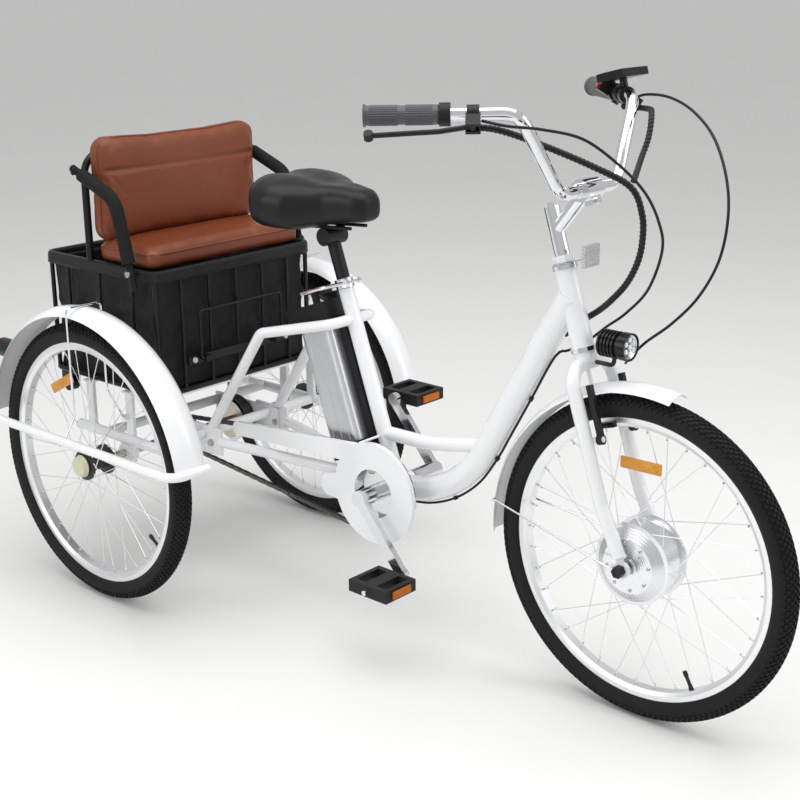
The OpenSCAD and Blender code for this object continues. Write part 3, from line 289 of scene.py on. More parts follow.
steer = joint_named("steering_turn")
STEER_FOOT = Vector(steer["pos_m"])
STEER_UP = Vector(steer["axis"]).normalized()
TILT = math.acos(STEER_UP.z)
HEAD_FOOT, HEAD_TOP = 0.3799, 0.5181


def cups(finish):
    """The two headset cups, past the ends of the head tube."""
    x, y, z = finish.split(finish.place(STEER_FOOT, (0, TILT, 0)))
    return (z < HEAD_FOOT) + (z > HEAD_TOP)


dress("head_tube", enamel("head_enamel", cups, (0.75, 0.76, 0.78), 0.08))


BOLTS_X, BOLT_Z, BOLT_R = (0.066, 0.118), 0.012, 0.0077
PLATE_IN, PLATE_OUT, BOLT_END = 0.0879, 0.1005, 0.11


def carriage_bolts(finish):
    """Hex heads and nuts on the bolted plates."""
    x, y, z = finish.split(finish.place((REAR_X, 0, AXLE_Z)))
    found = None
    for place in BOLTS_X:
        one = ((x - place) * (x - place) + (z - BOLT_Z) * (z - BOLT_Z)) < BOLT_R ** 2
        found = one if found is None else found + one
    outside = (abs(y) > PLATE_OUT) + (abs(y) < PLATE_IN)
    return found * (outside > 0.5) * (abs(y) < BOLT_END)


dress("rear_carriage", enamel("carriage_enamel", carriage_bolts))
FENDER_HALF = 0.0302
dress("front_fender", enamel("fender_enamel", beyond(1, FENDER_HALF), (0.7, 0.71, 0.72), 0.15))

# ---- chrome ----------------------------------------------------------------
# Handlebar, quill stem, seat clamp, its lever and the fender wires: steel
# under polished chrome, with faint smears that dull the shine a little.


def polished(name, colour, rough, smear=0.08):
    finish = Finish(name, Metallic=1.0)
    cloud = finish.noise(23, 5)
    finish.feed("Base Color", finish.blend(cloud, tuple(c * 0.93 for c in colour), colour))
    finish.feed("Roughness", rough + smear * finish.noise(11, 6) ** 2)
    finish.emboss(finish.noise(420, 2), 0.0002, 0.08)
    return finish.material


chrome = polished("chrome", (0.80, 0.81, 0.83), 0.03)
dress("handlebar quill_stem seat_clamp release_lever fender_stays", chrome)

# ---- alloy rims, spokes, motor and cranks -----------------------------------
# Anodised alloy hoops with stainless spokes; the motor shell is turned, so
# its polish runs in fine circles about the axle.


def turned(name, centre, colour, rough, ring=1400, depth=0.00012):
    """Metal turned on a lathe about the Y axis through the centre."""
    finish = Finish(name, Metallic=1.0)
    x, y, z = finish.split(finish.place(centre))
    radius = (x * x + z * z).root()
    circles = (radius * ring + 3 * finish.noise(6, 3)).wave()
    finish.feed("Base Color", finish.blend(finish.noise(17, 4), tuple(c * 0.9 for c in colour), colour))
    finish.feed("Roughness", rough + 0.05 * circles + 0.08 * finish.noise(40, 4))
    finish.emboss(circles, depth, 0.3)
    return finish.material


dress("hub_motor", turned("motor_shell", front_axle, (0.83, 0.84, 0.86), 0.2))
for side, axle in (("front", front_axle), ("right", right_axle), ("left", left_axle)):
    dress(side + "_rim", turned(side + "_rim_alloy", axle, (0.88, 0.89, 0.90), 0.3, 900))
dress("crankset", polished("crank_alloy", (0.76, 0.77, 0.79), 0.1, 0.12))
dress("rear_axle", polished("axle_steel", (0.55, 0.5, 0.42), 0.22, 0.2))

# ---- black plastics, rubber and small fittings -------------------------------
# Moulded nylon and ABS with a fine spark-eroded grain, and softer rubber. The
# basket, its arch and the footrest are steel wire and tube in black enamel.


def moulded(name, colour, rough, grain=900, depth=0.0002, where=None, other=None):
    finish = Finish(name, Specular_IOR_Level=0.3)
    cloud = finish.noise(12, 4)
    base = finish.blend(cloud, tuple(c * 0.8 for c in colour), tuple(min(1, c * 1.12) for c in colour))
    if where:
        base = finish.blend(where(finish), base, other)
    finish.feed("Base Color", base)
    finish.feed("Roughness", rough - 0.05 + 0.12 * finish.noise(27, 5))
    finish.emboss(finish.noise(grain, 2), depth, 0.35)
    return finish.material


BLACK = (0.009, 0.009, 0.010)
black_plastic = moulded("black_plastic", BLACK, 0.42)
dress("battery_dock battery_head lever_perches right_brake_lever left_brake_lever "
      "left_brake_arm right_brake_arm seatpost", black_plastic)
dress("display headlamp", moulded("gloss_black", (0.006, 0.006, 0.007), 0.22, 1400, 0.0001))
dress("brake_housing", moulded("brake_paint", (0.03, 0.03, 0.032), 0.35))
dress("red_button", moulded("red_button_plastic", (0.62, 0.03, 0.02), 0.3))
dress("green_button", moulded("green_button_plastic", (0.02, 0.42, 0.10), 0.3))
CREAM = (0.62, 0.58, 0.42)
CAP_FROM = 0.0342
for side, axle, outside in (("right", right_axle, -1), ("left", left_axle, 1)):
    def outer_cap(finish, axle=axle, outside=outside):
        y = finish.split(finish.place(axle))[1]
        return (y * outside) > CAP_FROM
    dress(side + "_hub", moulded(side + "_hub_black", (0.03, 0.03, 0.032), 0.35,
                                 where=outer_cap, other=CREAM))
AMBER = (0.5, 0.13, 0.01)
PEDAL_HALF = 0.0481
for side, spin in (("right", "right_pedal_spin"), ("left", "left_pedal_spin")):
    joint = joint_named(spin)
    dress(side + "_pedal", moulded(side + "_pedal_plastic", BLACK, 0.5,
                                   where=beyond(0, PEDAL_HALF, joint["pos_m"]), other=AMBER))
lamp_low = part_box("tail_lamp")[0]
LENS_DEEP = 0.0092


def lamp_lens(finish):
    return finish.split(finish.place(lamp_low))[0] < LENS_DEEP


dress("tail_lamp", moulded("tail_lamp_plastic", BLACK, 0.3, where=lamp_lens, other=(0.5, 0.01, 0.01)))
dress("footrest seat_arch", moulded("black_enamel", (0.006, 0.006, 0.007), 0.25, 500, 0.0001))
EYE_Y, EYE_R, BAR_FACE = 0.131, 0.0065, 0.1141


def crossbar_bolts(finish):
    """Zinc bolt heads at the ends of the bar that carries the footrest."""
    x, y, z = finish.split(finish.place((REAR_X, 0, 0)))
    return (abs(abs(y) - EYE_Y) < EYE_R) * (x > BAR_FACE)


dress("basket_frame", moulded("basket_enamel", (0.006, 0.006, 0.007), 0.25, 500, 0.0001,
                              where=crossbar_bolts, other=(0.6, 0.6, 0.6)))
dress("chain freewheel", polished("chain_steel", (0.2, 0.18, 0.16), 0.3, 0.2))
lens_clear = Finish("clear_prism", Roughness=0.12, IOR=1.49, Transmission_Weight=0.35)
x, y, z = lens_clear.split(lens_clear.place())
prism = (y * 1700).wave() + (z * 1700).wave()
lens_clear.feed("Base Color", lens_clear.blend(
    lens_clear.noise(40, 3), (0.62, 0.64, 0.66), (0.88, 0.9, 0.92)))
lens_clear.emboss(prism, 0.0012, 0.7)
dress("front_reflector", lens_clear.material)

# ---- tyres ------------------------------------------------------------------
# Black rubber tyres with rows of small tread blocks, staggered from row to
# row, and fine moulding rings on the sidewalls.


def mesh_of(name, points, faces, smooth=True):
    mesh = bpy.data.meshes.new(name)
    mesh.from_pydata([tuple(p) for p in points], [], faces)
    mesh.validate()
    if smooth:
        mesh.polygons.foreach_set("use_smooth", [True] * len(mesh.polygons))
    return mesh


def piece(name, mesh, body, material):
    made = bpy.data.objects.new(name, mesh)
    bpy.context.scene.collection.objects.link(made)
    mesh.materials.clear()
    mesh.materials.append(material)
    if body:
        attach(made, body)
    return made


def turned_mesh(name, outline, count, centre=(0, 0, 0), frame_of=None):
    """Spins a loop of (radius, along) points about the Y axis, or about frame_of's Z."""
    basis = frame_of or Matrix(((1, 0, 0), (0, 0, 1), (0, -1, 0)))
    points, faces, n = [], [], len(outline)
    for k in range(count):
        a = 2 * math.pi * k / count
        for radius, along in outline:
            local = Vector((radius * math.cos(a), radius * math.sin(a), along))
            points.append(Vector(centre) + basis @ local)
    for k in range(count):
        for i in range(n):
            j, m = (i + 1) % n, (k + 1) % count
            faces.append((k * n + i, m * n + i, m * n + j, k * n + j))
    return outward(mesh_of(name, points, faces))


def outward(mesh):
    """Merges doubles and turns every face outwards."""
    work = bmesh.new()
    work.from_mesh(mesh)
    bmesh.ops.remove_doubles(work, verts=work.verts, dist=1e-6)
    bmesh.ops.recalc_face_normals(work, faces=work.faces)
    work.to_mesh(mesh)
    work.free()
    return mesh


def copies(name, part_mesh, places, material, body):
    """One mesh of a part repeated at places, each a point and a 3x3 turn."""
    part = bpy.data.objects.new(name + "_part", part_mesh)
    bpy.context.scene.collection.objects.link(part)
    dots = bpy.data.meshes.new(name)
    dots.from_pydata([tuple(p) for p, turn in places], [], [])
    turns = dots.attributes.new("turn", "FLOAT_VECTOR", "POINT")
    turns.data.foreach_set("vector", [a for p, turn in places for a in turn.to_euler()])
    made = bpy.data.objects.new(name, dots)
    bpy.context.scene.collection.objects.link(made)

    tree = bpy.data.node_groups.new(name + "_copies", "GeometryNodeTree")
    face = tree.interface
    face.new_socket("Dots", in_out="INPUT", socket_type="NodeSocketGeometry")
    for label, kind in (("Part", "NodeSocketObject"), ("Finish", "NodeSocketMaterial"),
                        ("Size", "NodeSocketFloat")):
        face.new_socket(label, in_out="INPUT", socket_type=kind)
    face.new_socket("Copies", in_out="OUTPUT", socket_type="NodeSocketGeometry")
    new, link = tree.nodes.new, tree.links.new
    start, end = new("NodeGroupInput"), new("NodeGroupOutput")
    info, turn = new("GeometryNodeObjectInfo"), new("GeometryNodeInputNamedAttribute")
    spin, put = new("FunctionNodeEulerToRotation"), new("GeometryNodeInstanceOnPoints")
    real, paint = new("GeometryNodeRealizeInstances"), new("GeometryNodeSetMaterial")
    turn.data_type = "FLOAT_VECTOR"
    turn.inputs["Name"].default_value = "turn"
    link(start.outputs["Part"], info.inputs["Object"])
    link(turn.outputs["Attribute"], spin.inputs[0])
    link(start.outputs["Dots"], put.inputs["Points"])
    link(info.outputs["Geometry"], put.inputs["Instance"])
    link(spin.outputs[0], put.inputs["Rotation"])
    link(start.outputs["Size"], put.inputs["Scale"])
    link(put.outputs[0], real.inputs[0])
    link(real.outputs[0], paint.inputs["Geometry"])
    link(start.outputs["Finish"], paint.inputs["Material"])
    link(paint.outputs[0], end.inputs[0])

    worker = made.modifiers.new("copies", "NODES")
    worker.node_group = tree
    sockets = {i.name: i.identifier for i in face.items_tree if i.in_out == "INPUT"}
    worker[sockets["Part"]], worker[sockets["Finish"]], worker[sockets["Size"]] = part, material, 1.0
    depsgraph = bpy.context.evaluated_depsgraph_get()
    mesh = bpy.data.meshes.new_from_object(made.evaluated_get(depsgraph))
    mesh.name = name
    bpy.data.objects.remove(made)
    bpy.data.objects.remove(part)
    return piece(name, mesh, body, material)


def basis_of(normal, along):
    """A turn whose Z is normal and whose X lies near along."""
    z = Vector(normal).normalized()
    x = (Vector(along) - z * z.dot(Vector(along))).normalized()
    return Matrix((x, z.cross(x), z)).transposed()


SECTION_R = (wheel_high.y - wheel_low.y) / 2
MID_R = TYRE_R - SECTION_R
CARCASS_R = SECTION_R - 0.0026
SEAT_R = 0.2600


def tyre_rubber(name, centre):
    finish = Finish(name, Specular_IOR_Level=0.2)
    x, y, z = finish.split(finish.place(centre))
    radius = (x * x + z * z).root()
    rings = (radius * 2600).wave() * (radius < 0.283)
    dust = finish.noise(30, 5)
    finish.feed("Base Color", finish.blend(dust, (0.005, 0.005, 0.005), (0.015, 0.015, 0.015)))
    finish.feed("Roughness", 0.5 + 0.25 * dust)
    finish.emboss(rings + 0.5 * finish.noise(700, 2), 0.0003, 0.5)
    return finish.material


# One tread block in millimetres: its foot, sunk in the carcass, and its top.
block = [(-3.4, -2.6, -0.6), (3.4, -2.6, -0.6), (3.4, 2.6, -0.6), (-3.4, 2.6, -0.6),
         (-2.7, -2.0, 2.4), (2.7, -2.0, 2.4), (2.7, 2.0, 2.4), (-2.7, 2.0, 2.4)]
block_faces = [(4, 5, 6, 7), (0, 1, 5, 4), (1, 2, 6, 5), (2, 3, 7, 6), (3, 0, 4, 7)]
ROWS = (-64, -49, -34, -20, -7, 7, 20, 34, 49, 64)
BLOCKS = 150
BEAD_HALF = 0.0145
WHEELS = (("front", front_axle, "front_wheel"), ("right", right_axle, "driven_wheel"),
          ("left", left_axle, "free_wheel_left"))


def outwards_at(angle):
    """The way a spoke points, at an angle up from the forward direction."""
    return Vector((math.cos(angle), 0, math.sin(angle)))


for side, centre, body in WHEELS:
    rubber = tyre_rubber(side + "_tyre_rubber", centre)
    outline = [(SEAT_R, -BEAD_HALF), (SEAT_R, BEAD_HALF)]
    for k in range(25):
        a = math.radians(130 - 260 * k / 24)
        outline.append((max(SEAT_R + 0.0005, MID_R + CARCASS_R * math.cos(a)), CARCASS_R * math.sin(a)))
    carcass = turned_mesh(side + "_tyre_carcass", outline, 120, centre)
    tyre = piece(side + "_tyre_carcass", carcass, body, rubber)
    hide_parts(side + "_tyre")
    places = []
    for row, degrees in enumerate(ROWS):
        tip = math.radians(degrees)
        for k in range(BLOCKS):
            a = 2 * math.pi * (k + (row % 2) / 2) / BLOCKS
            spoke = outwards_at(a)
            normal = spoke * math.cos(tip) + Vector((0, 1, 0)) * math.sin(tip)
            point = centre + spoke * MID_R + normal * CARCASS_R
            places.append((point, basis_of(normal, Vector((-math.sin(a), 0, math.cos(a))))))
    knob = mesh_of("tread_block", [Vector(p) / 1000 for p in block], block_faces, False)
    copies(side + "_tread", knob, places, rubber, body)

# ---- spoke nipples, valves and wheel reflectors ------------------------------
# Plated brass nipples where the spokes meet each rim, a black rubber valve
# stem, and an amber reflector clipped across the spokes of two wheels.
nipple_metal = polished("nipple_plate", (0.7, 0.7, 0.68), 0.2)
amber = Finish("amber_prism", Roughness=0.14, IOR=1.49, Coat_Weight=0.5)
x, y, z = amber.split(amber.place())
amber.feed("Base Color", amber.blend(amber.noise(60, 3), (0.62, 0.2, 0.0), (0.95, 0.42, 0.03)))
amber.emboss((x * 1500 + z * 1500).wave() + (x * 1500 - z * 1500).wave(), 0.001, 0.6)
RIM_IN = 0.243
SPOKES = 36
UPRIGHT = Matrix.Identity(3)
nipple = turned_mesh("nipple", [(0.0001, 0.0), (0.0018, 0.0), (0.0015, 0.011), (0.0001, 0.011)], 8,
                     frame_of=UPRIGHT)
valve_outline = [(0.0001, -0.001), (0.0046, -0.001), (0.0046, 0.004), (0.0033, 0.007), (0.0033, 0.024),
                 (0.0042, 0.025), (0.0042, 0.033), (0.003, 0.035), (0.0001, 0.035)]
valve_rubber = moulded("valve_rubber", (0.015, 0.015, 0.015), 0.5)


def spoke_angle(index, side, cross):
    """Where a spoke's outer end meets the rim, as the CAD laces it."""
    step = math.radians(720 / SPOKES)
    lean = 1 if index % 2 == 0 else -1
    return step * index + (0 if side < 0 else step / 2) + lean * math.radians(cross), lean


for (side, centre, body), cross, stem in zip(WHEELS, (40, 60, 60), (-62, -35, 200)):
    places = []
    for flank in (-1, 1):
        for i in range(SPOKES // 2):
            a, lean = spoke_angle(i, flank, cross)
            out = outwards_at(a)
            point = centre + out * (RIM_IN - 0.0105) + Vector((0, (flank * 0.7 + lean * 1.5) / 1000, 0))
            places.append((point, basis_of(out, (0, 1, 0))))
    copies(side + "_nipples", nipple, places, nipple_metal, body)
    out = outwards_at(math.radians(stem))
    turn = basis_of(-out, (0, 1, 0))
    valve = turned_mesh(side + "_valve", valve_outline, 14, centre + out * RIM_IN, turn)
    piece(side + "_valve", valve, body, valve_rubber)


def lozenge(name, centre, size, turn, bevel=0.002):
    """A flat block with its edges eased, turned and set at a centre."""
    work = bmesh.new()
    bmesh.ops.create_cube(work, size=1)
    for v in work.verts:
        v.co = Vector(v.co[i] * size[i] for i in range(3))
    bmesh.ops.bevel(work, geom=list(work.edges), offset=bevel, segments=3, profile=0.5, affect="EDGES")
    for v in work.verts:
        v.co = Vector(centre) + turn @ v.co
    mesh = bpy.data.meshes.new(name)
    work.to_mesh(mesh)
    work.free()
    mesh.polygons.foreach_set("use_smooth", [True] * len(mesh.polygons))
    mesh.set_sharp_from_angle(angle=math.radians(35))
    return mesh


for side, centre, body, degrees, reach in (("front", front_axle, "front_wheel", 91, 0.176),
                                           ("right", right_axle, "driven_wheel", 118, 0.180)):
    a = math.radians(degrees)
    out = outwards_at(a)
    along = Vector((-math.sin(a), 0, math.cos(a)))
    turn = Matrix((along, Vector((0, 1, 0)), out)).transposed()
    centre_at = centre + out * reach + Vector((0, -0.0085, 0))
    name = side + "_spoke_reflector"
    piece(name, lozenge(name, centre_at, (0.082, 0.006, 0.021), turn), body, amber.material)

# ---- chain --------------------------------------------------------------------
# Half-inch roller chain from the 46-tooth ring to the 18-tooth sprocket:
# pairs of waisted plates, inner and outer by turns, on pins and rollers.
PITCH = 0.0127
RING_R = PITCH / 2 / math.sin(math.pi / 46)
COG_R = PITCH / 2 / math.sin(math.pi / 18)
CHAIN_Y = -0.060
CRANK_X = REAR_X + 0.572
PLATE_R, PIN_R = 0.0041, 0.0026
reach = CRANK_X - REAR_X
wrap = math.asin((RING_R - COG_R) / reach)
straight = math.sqrt(reach ** 2 - (RING_R - COG_R) ** 2)
loop = 2 * straight + RING_R * (math.pi + 2 * wrap) + COG_R * (math.pi - 2 * wrap)
LINKS = 2 * round(loop / PITCH / 2)


def chain_point(distance):
    """A point on the pitch line, starting where the top run leaves the ring."""
    top = Vector((-math.sin(wrap), 0, math.cos(wrap)))
    low = Vector((-math.sin(wrap), 0, -math.cos(wrap)))
    ring, cog = Vector((CRANK_X, CHAIN_Y, AXLE_Z)), Vector((REAR_X, CHAIN_Y, AXLE_Z))
    d = distance % loop
    if d < straight:
        return (ring + top * RING_R).lerp(cog + top * COG_R, d / straight)
    d -= straight
    rear_arc = COG_R * (math.pi - 2 * wrap)
    if d < rear_arc:
        a = math.pi / 2 + wrap + d / COG_R
        return cog + COG_R * Vector((math.cos(a), 0, math.sin(a)))
    d -= rear_arc
    if d < straight:
        return (cog + low * COG_R).lerp(ring + low * RING_R, d / straight)
    a = -math.pi / 2 - wrap + (d - straight) / RING_R
    return ring + RING_R * Vector((math.cos(a), 0, math.sin(a)))


def link_mesh(gap, plate):
    """Two figure-eight plates, gap apart, and the roller between them."""
    points, faces = [], []
    half = PITCH / 2
    outline = []
    for sign in (1, -1):
        for k in range(7):
            a = math.radians(-90 + 30 * k)
            outline.append((sign * (half + PLATE_R * math.cos(a)), sign * PLATE_R * math.sin(a)))
    for flank in (-1, 1):
        base = len(points)
        for y in (flank * gap, flank * (gap + plate)):
            points += [(px, y, pz * (0.8 if abs(px) < half * 0.9 else 1)) for px, pz in outline]
        n = len(outline)
        faces.append(tuple(base + k for k in range(n)))
        faces.append(tuple(base + n + k for k in range(n)))
        faces += [(base + k, base + (k + 1) % n, base + n + (k + 1) % n, base + n + k) for k in range(n)]
    base = len(points)
    for y in (-gap - plate - 0.0003, gap + plate + 0.0003):
        points += [(half + PIN_R * math.cos(a), y, PIN_R * math.sin(a))
                   for a in np.linspace(0, 2 * math.pi, 9)[:8]]
    faces += [(base + k, base + (k + 1) % 8, base + 8 + (k + 1) % 8, base + 8 + k) for k in range(8)]
    faces += [tuple(base + k for k in range(8)), tuple(base + 8 + k for k in range(8))]
    return outward(mesh_of("link", points, faces, False))


chain_steel = polished("chain_links_steel", (0.16, 0.15, 0.14), 0.28, 0.25)
step = loop / LINKS
for name, parity, gap in (("chain_inner_links", 0, 0.0016), ("chain_outer_links", 1, 0.0027)):
    places = []
    for k in range(parity, LINKS, 2):
        a, b = chain_point(k * step), chain_point((k + 1) * step)
        along, across = (b - a).normalized(), Vector((0, 1, 0))
        places.append(((a + b) / 2, Matrix((along, across, along.cross(across))).transposed()))
    copies(name, link_mesh(gap, 0.0011), places, chain_steel, "frame")
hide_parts("chain")

# ---- padded seat and backrest ---------------------------------------------------
# Foam cushions in brown leatherette: crowned faces, pulled-in seams, soft
# creases. Each is blown up a little by a cloth simulation inside its cover.


def leather(name, colour, grain=1100, depth=0.0005, shine=0.4):
    finish = Finish(name, Specular_IOR_Level=shine)
    patchy = finish.noise(5.5, 5)
    pores = finish.cells(grain / 4)
    base = finish.blend(patchy, tuple(c * 0.72 for c in colour), tuple(min(1, c * 1.16) for c in colour))
    base = finish.blend((pores < 0.1) * 0.35, base, tuple(c * 0.55 for c in colour))
    finish.feed("Base Color", base)
    finish.feed("Roughness", 0.27 + 0.2 * finish.noise(18, 5))
    finish.emboss(pores * 0.6 + 0.5 * finish.noise(34, 5), depth, 0.6)
    return finish.material


def rounded_block(name, low, high, corner, edge):
    """A closed block, round at its corners and eased along its edges."""
    low, high = Vector(low), Vector(high)
    work = bmesh.new()
    bmesh.ops.create_cube(work, size=1)
    for v in work.verts:
        v.co = Vector((low[i] + high[i]) / 2 + v.co[i] * (high[i] - low[i]) for i in range(3))
    thin = min(range(3), key=lambda i: high[i] - low[i])
    upright_edges = [e for e in work.edges if abs((e.verts[0].co - e.verts[1].co)[thin]) > 1e-6]
    bmesh.ops.bevel(work, geom=upright_edges, offset=corner, segments=8, profile=0.5, affect="EDGES")
    rims = [e for e in work.edges
            if abs((e.verts[0].co - e.verts[1].co)[thin]) < 1e-6 and len(e.link_faces) == 2
            and max(abs(f.normal[thin]) for f in e.link_faces) > 0.9
            and min(abs(f.normal[thin]) for f in e.link_faces) < 0.5]
    bmesh.ops.bevel(work, geom=rims, offset=edge, segments=4, profile=0.5, affect="EDGES")
    mesh = bpy.data.meshes.new(name)
    work.to_mesh(mesh)
    work.free()
    made = bpy.data.objects.new(name, mesh)
    bpy.context.scene.collection.objects.link(made)
    remesh = made.modifiers.new("remesh", "REMESH")
    remesh.mode, remesh.voxel_size = "VOXEL", 0.006
    bake(made)
    return made


def bake(made):
    """Applies every modifier of a piece to its mesh."""
    depsgraph = bpy.context.evaluated_depsgraph_get()
    mesh = bpy.data.meshes.new_from_object(made.evaluated_get(depsgraph))
    made.modifiers.clear()
    old = made.data
    made.data = mesh
    bpy.data.meshes.remove(old)


def positions(mesh):
    flat = np.zeros(len(mesh.vertices) * 3, np.float64)
    mesh.vertices.foreach_get("co", flat)
    return flat.reshape(-1, 3)


FRAMES = 20


def inflate(made, most, allow):
    """Blows a cover up under pressure; allow scales how far it may move each way."""
    rest = positions(made.data)
    cloth = made.modifiers.new("cloth", "CLOTH")
    cloth.settings.use_pressure = True
    cloth.settings.uniform_pressure_force = 4
    cloth.settings.effector_weights.gravity = 0
    cloth.settings.tension_stiffness = cloth.settings.compression_stiffness = 12
    cloth.settings.bending_stiffness = 0.6
    cloth.point_cache.frame_start, cloth.point_cache.frame_end = 1, FRAMES
    scene = bpy.context.scene
    for number in range(1, FRAMES + 1):
        scene.frame_set(number)
    bake(made)
    moved = positions(made.data) - rest
    moved = np.where(moved > 0, moved * np.array(allow[1]), moved * np.array(allow[0]))
    length = np.linalg.norm(moved, axis=1)[:, None]
    moved *= np.minimum(1, most / np.maximum(length, 1e-9))
    made.data.vertices.foreach_set("co", (rest + moved).astype(np.float32).ravel())
    scene.frame_set(1)


def crown(made, axis, side, low, high, rise):
    """Raises a face in the middle, so that its sides pull in at the seams."""
    place = positions(made.data)
    a, b = [i for i in range(3) if i != axis]
    u = (place[:, a] - low[a]) / (high[a] - low[a]) * 2 - 1
    v = (place[:, b] - low[b]) / (high[b] - low[b]) * 2 - 1
    dome = np.clip(1 - u ** 4, 0, 1) * np.clip(1 - v ** 4, 0, 1)
    t = (place[:, axis] - low[axis]) / (high[axis] - low[axis])
    share = t if side > 0 else 1 - t
    place[:, axis] += side * rise * dome * np.clip(share, 0, None) ** 1.5
    made.data.vertices.foreach_set("co", place.astype(np.float32).ravel())


def crease(made, lines, depth):
    """Presses soft folds into a cover; a line is two ends, a width and a share of the depth."""
    place = positions(made.data)
    flat = np.zeros(len(made.data.vertices) * 3)
    made.data.vertices.foreach_get("normal", flat)
    normal = flat.reshape(-1, 3)
    push = np.zeros(len(place))
    for start, end, width, share in lines:
        a, b = np.array(start), np.array(end)
        d = b - a
        t = np.clip(((place - a) @ d) / (d @ d), 0, 1)
        gap = np.linalg.norm(place - a - t[:, None] * d, axis=1)
        push = np.maximum(push, share * np.exp(-(gap / width) ** 2))
    place -= normal * (push * depth)[:, None]
    made.data.vertices.foreach_set("co", place.astype(np.float32).ravel())


def smooth_out(made):
    sub = made.modifiers.new("smooth", "SUBSURF")
    sub.levels = sub.render_levels = 1
    bake(made)
    made.data.polygons.foreach_set("use_smooth", [True] * len(made.data.polygons))


def tube_mesh(name, points, radius, sides=10, closed=False):
    """A tube along points; radius may be a function of (length along, angle)."""
    path = [Vector(p) for p in points]
    n = len(path)
    ahead_of = [(path[(i + 1) % n if closed else min(i + 1, n - 1)]
                 - path[i - 1 if closed else max(i - 1, 0)]).normalized() for i in range(n)]
    side = ahead_of[0].orthogonal().normalized()
    verts, faces, run = [], [], 0.0
    for i in range(n):
        side = (side - ahead_of[i] * side.dot(ahead_of[i])).normalized()
        over = ahead_of[i].cross(side)
        if i:
            run += (path[i] - path[i - 1]).length
        for k in range(sides):
            a = 2 * math.pi * k / sides
            r = radius(run, a) if callable(radius) else radius
            verts.append(path[i] + r * (math.cos(a) * side + math.sin(a) * over))
    for i in range(n if closed else n - 1):
        for k in range(sides):
            j, m = (k + 1) % sides, (i + 1) % n
            faces.append((i * sides + k, i * sides + j, m * sides + j, m * sides + k))
    if not closed:
        faces.append(tuple(range(sides))[::-1])
        faces.append(tuple((n - 1) * sides + k for k in range(sides)))
    return outward(mesh_of(name, verts, faces))


brown = leather("brown_leatherette", (0.205, 0.049, 0.017))
seat_low, seat_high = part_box("seat_cushion")
back_low, back_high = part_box("backrest")
IN = 0.004


def cover(made, node):
    """Dresses a finished cushion cover and puts it in the place of its CAD block."""
    made.data.materials.clear()
    made.data.materials.append(brown)
    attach(made, "frame")
    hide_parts(node)


seat = rounded_block("seat_cushion_cover", seat_low + Vector((0.001, IN, 0)),
                     seat_high - Vector((IN, IN, 0.004)), 0.024, 0.011)
inflate(seat, 0.007, ((0.05, 0.35, 0.02), (0.6, 0.35, 0.9)))
crown(seat, 2, 1, seat_low, seat_high, 0.005)
lines = []
for y0, y1, s in ((-0.19, -0.14, 0.7), (-0.06, -0.02, 0.35), (0.08, 0.03, 0.4), (0.2, 0.15, 0.7)):
    lines.append(((seat_high.x, y0, seat_high.z + 0.004),
                  (seat_low.x + 0.02, y1, seat_high.z + 0.008), 0.006, s))
crease(seat, lines, 0.0025)
smooth_out(seat)
cover(seat, "seat_cushion")

back = rounded_block("backrest_cover", back_low + Vector((0.001, IN, -0.004)),
                     back_high - Vector((0.003, IN, IN)), 0.034, 0.012)
inflate(back, 0.007, ((0.05, 0.35, 0.2), (0.8, 0.35, 0.35)))
crown(back, 0, 1, back_low, back_high, 0.006)
SEAM_Z = back_high.z - 0.074
front_x = back_high.x + 0.006
lines = [((front_x, back_low.y, SEAM_Z), (front_x, back_high.y, SEAM_Z), 0.0055, 1.0)]
for y0, y1, z0, z1, s in ((-0.20, -0.16, 0.0, 0.05, 0.35), (-0.1, -0.07, 0.01, 0.06, 0.25),
                          (0.02, 0.05, 0.0, 0.055, 0.3), (0.12, 0.10, 0.0, 0.05, 0.25),
                          (0.19, 0.17, 0.005, 0.06, 0.3)):
    lines.append(((front_x, y0, SEAM_Z - z0), (front_x, y1, SEAM_Z - z1), 0.006, s))
smooth_out(back)
crease(back, lines, 0.0055)
cover(back, "backrest")


def piping_on(name, made, axis, level):
    """A welt sewn where the cover's face meets its sides, taken off the finished cover."""
    place = positions(made.data)
    near = place[np.abs(place[:, axis] - level) < 0.004]
    a, b = [i for i in range(3) if i != axis]
    middle = (near.max(axis=0) + near.min(axis=0)) / 2
    size = (near.max(axis=0) - near.min(axis=0)) / 2
    angle = np.arctan2((near[:, b] - middle[b]) / size[b], (near[:, a] - middle[a]) / size[a])
    reach = np.hypot(near[:, a] - middle[a], near[:, b] - middle[b])
    points, count = [], 160
    for k in range(count):
        t = -math.pi + 2 * math.pi * k / count
        gap = np.abs((angle - t + math.pi) % (2 * math.pi) - math.pi)
        close = np.argsort(gap)[:12]
        best = close[np.argmax(reach[close])]
        point = middle.copy()
        point[a], point[b], point[axis] = near[best][a], near[best][b], level
        points.append(point)
    smooth = [sum(points[(k + j) % count] for j in (-2, -1, 0, 1, 2)) / 5 for k in range(count)]
    piece(name, tube_mesh(name, smooth, 0.0024, 8, True), "frame", brown)


piping_on("seat_piping", seat, 2, seat_high.z - 0.010)
piping_on("back_piping", back, 0, back_high.x - 0.010)

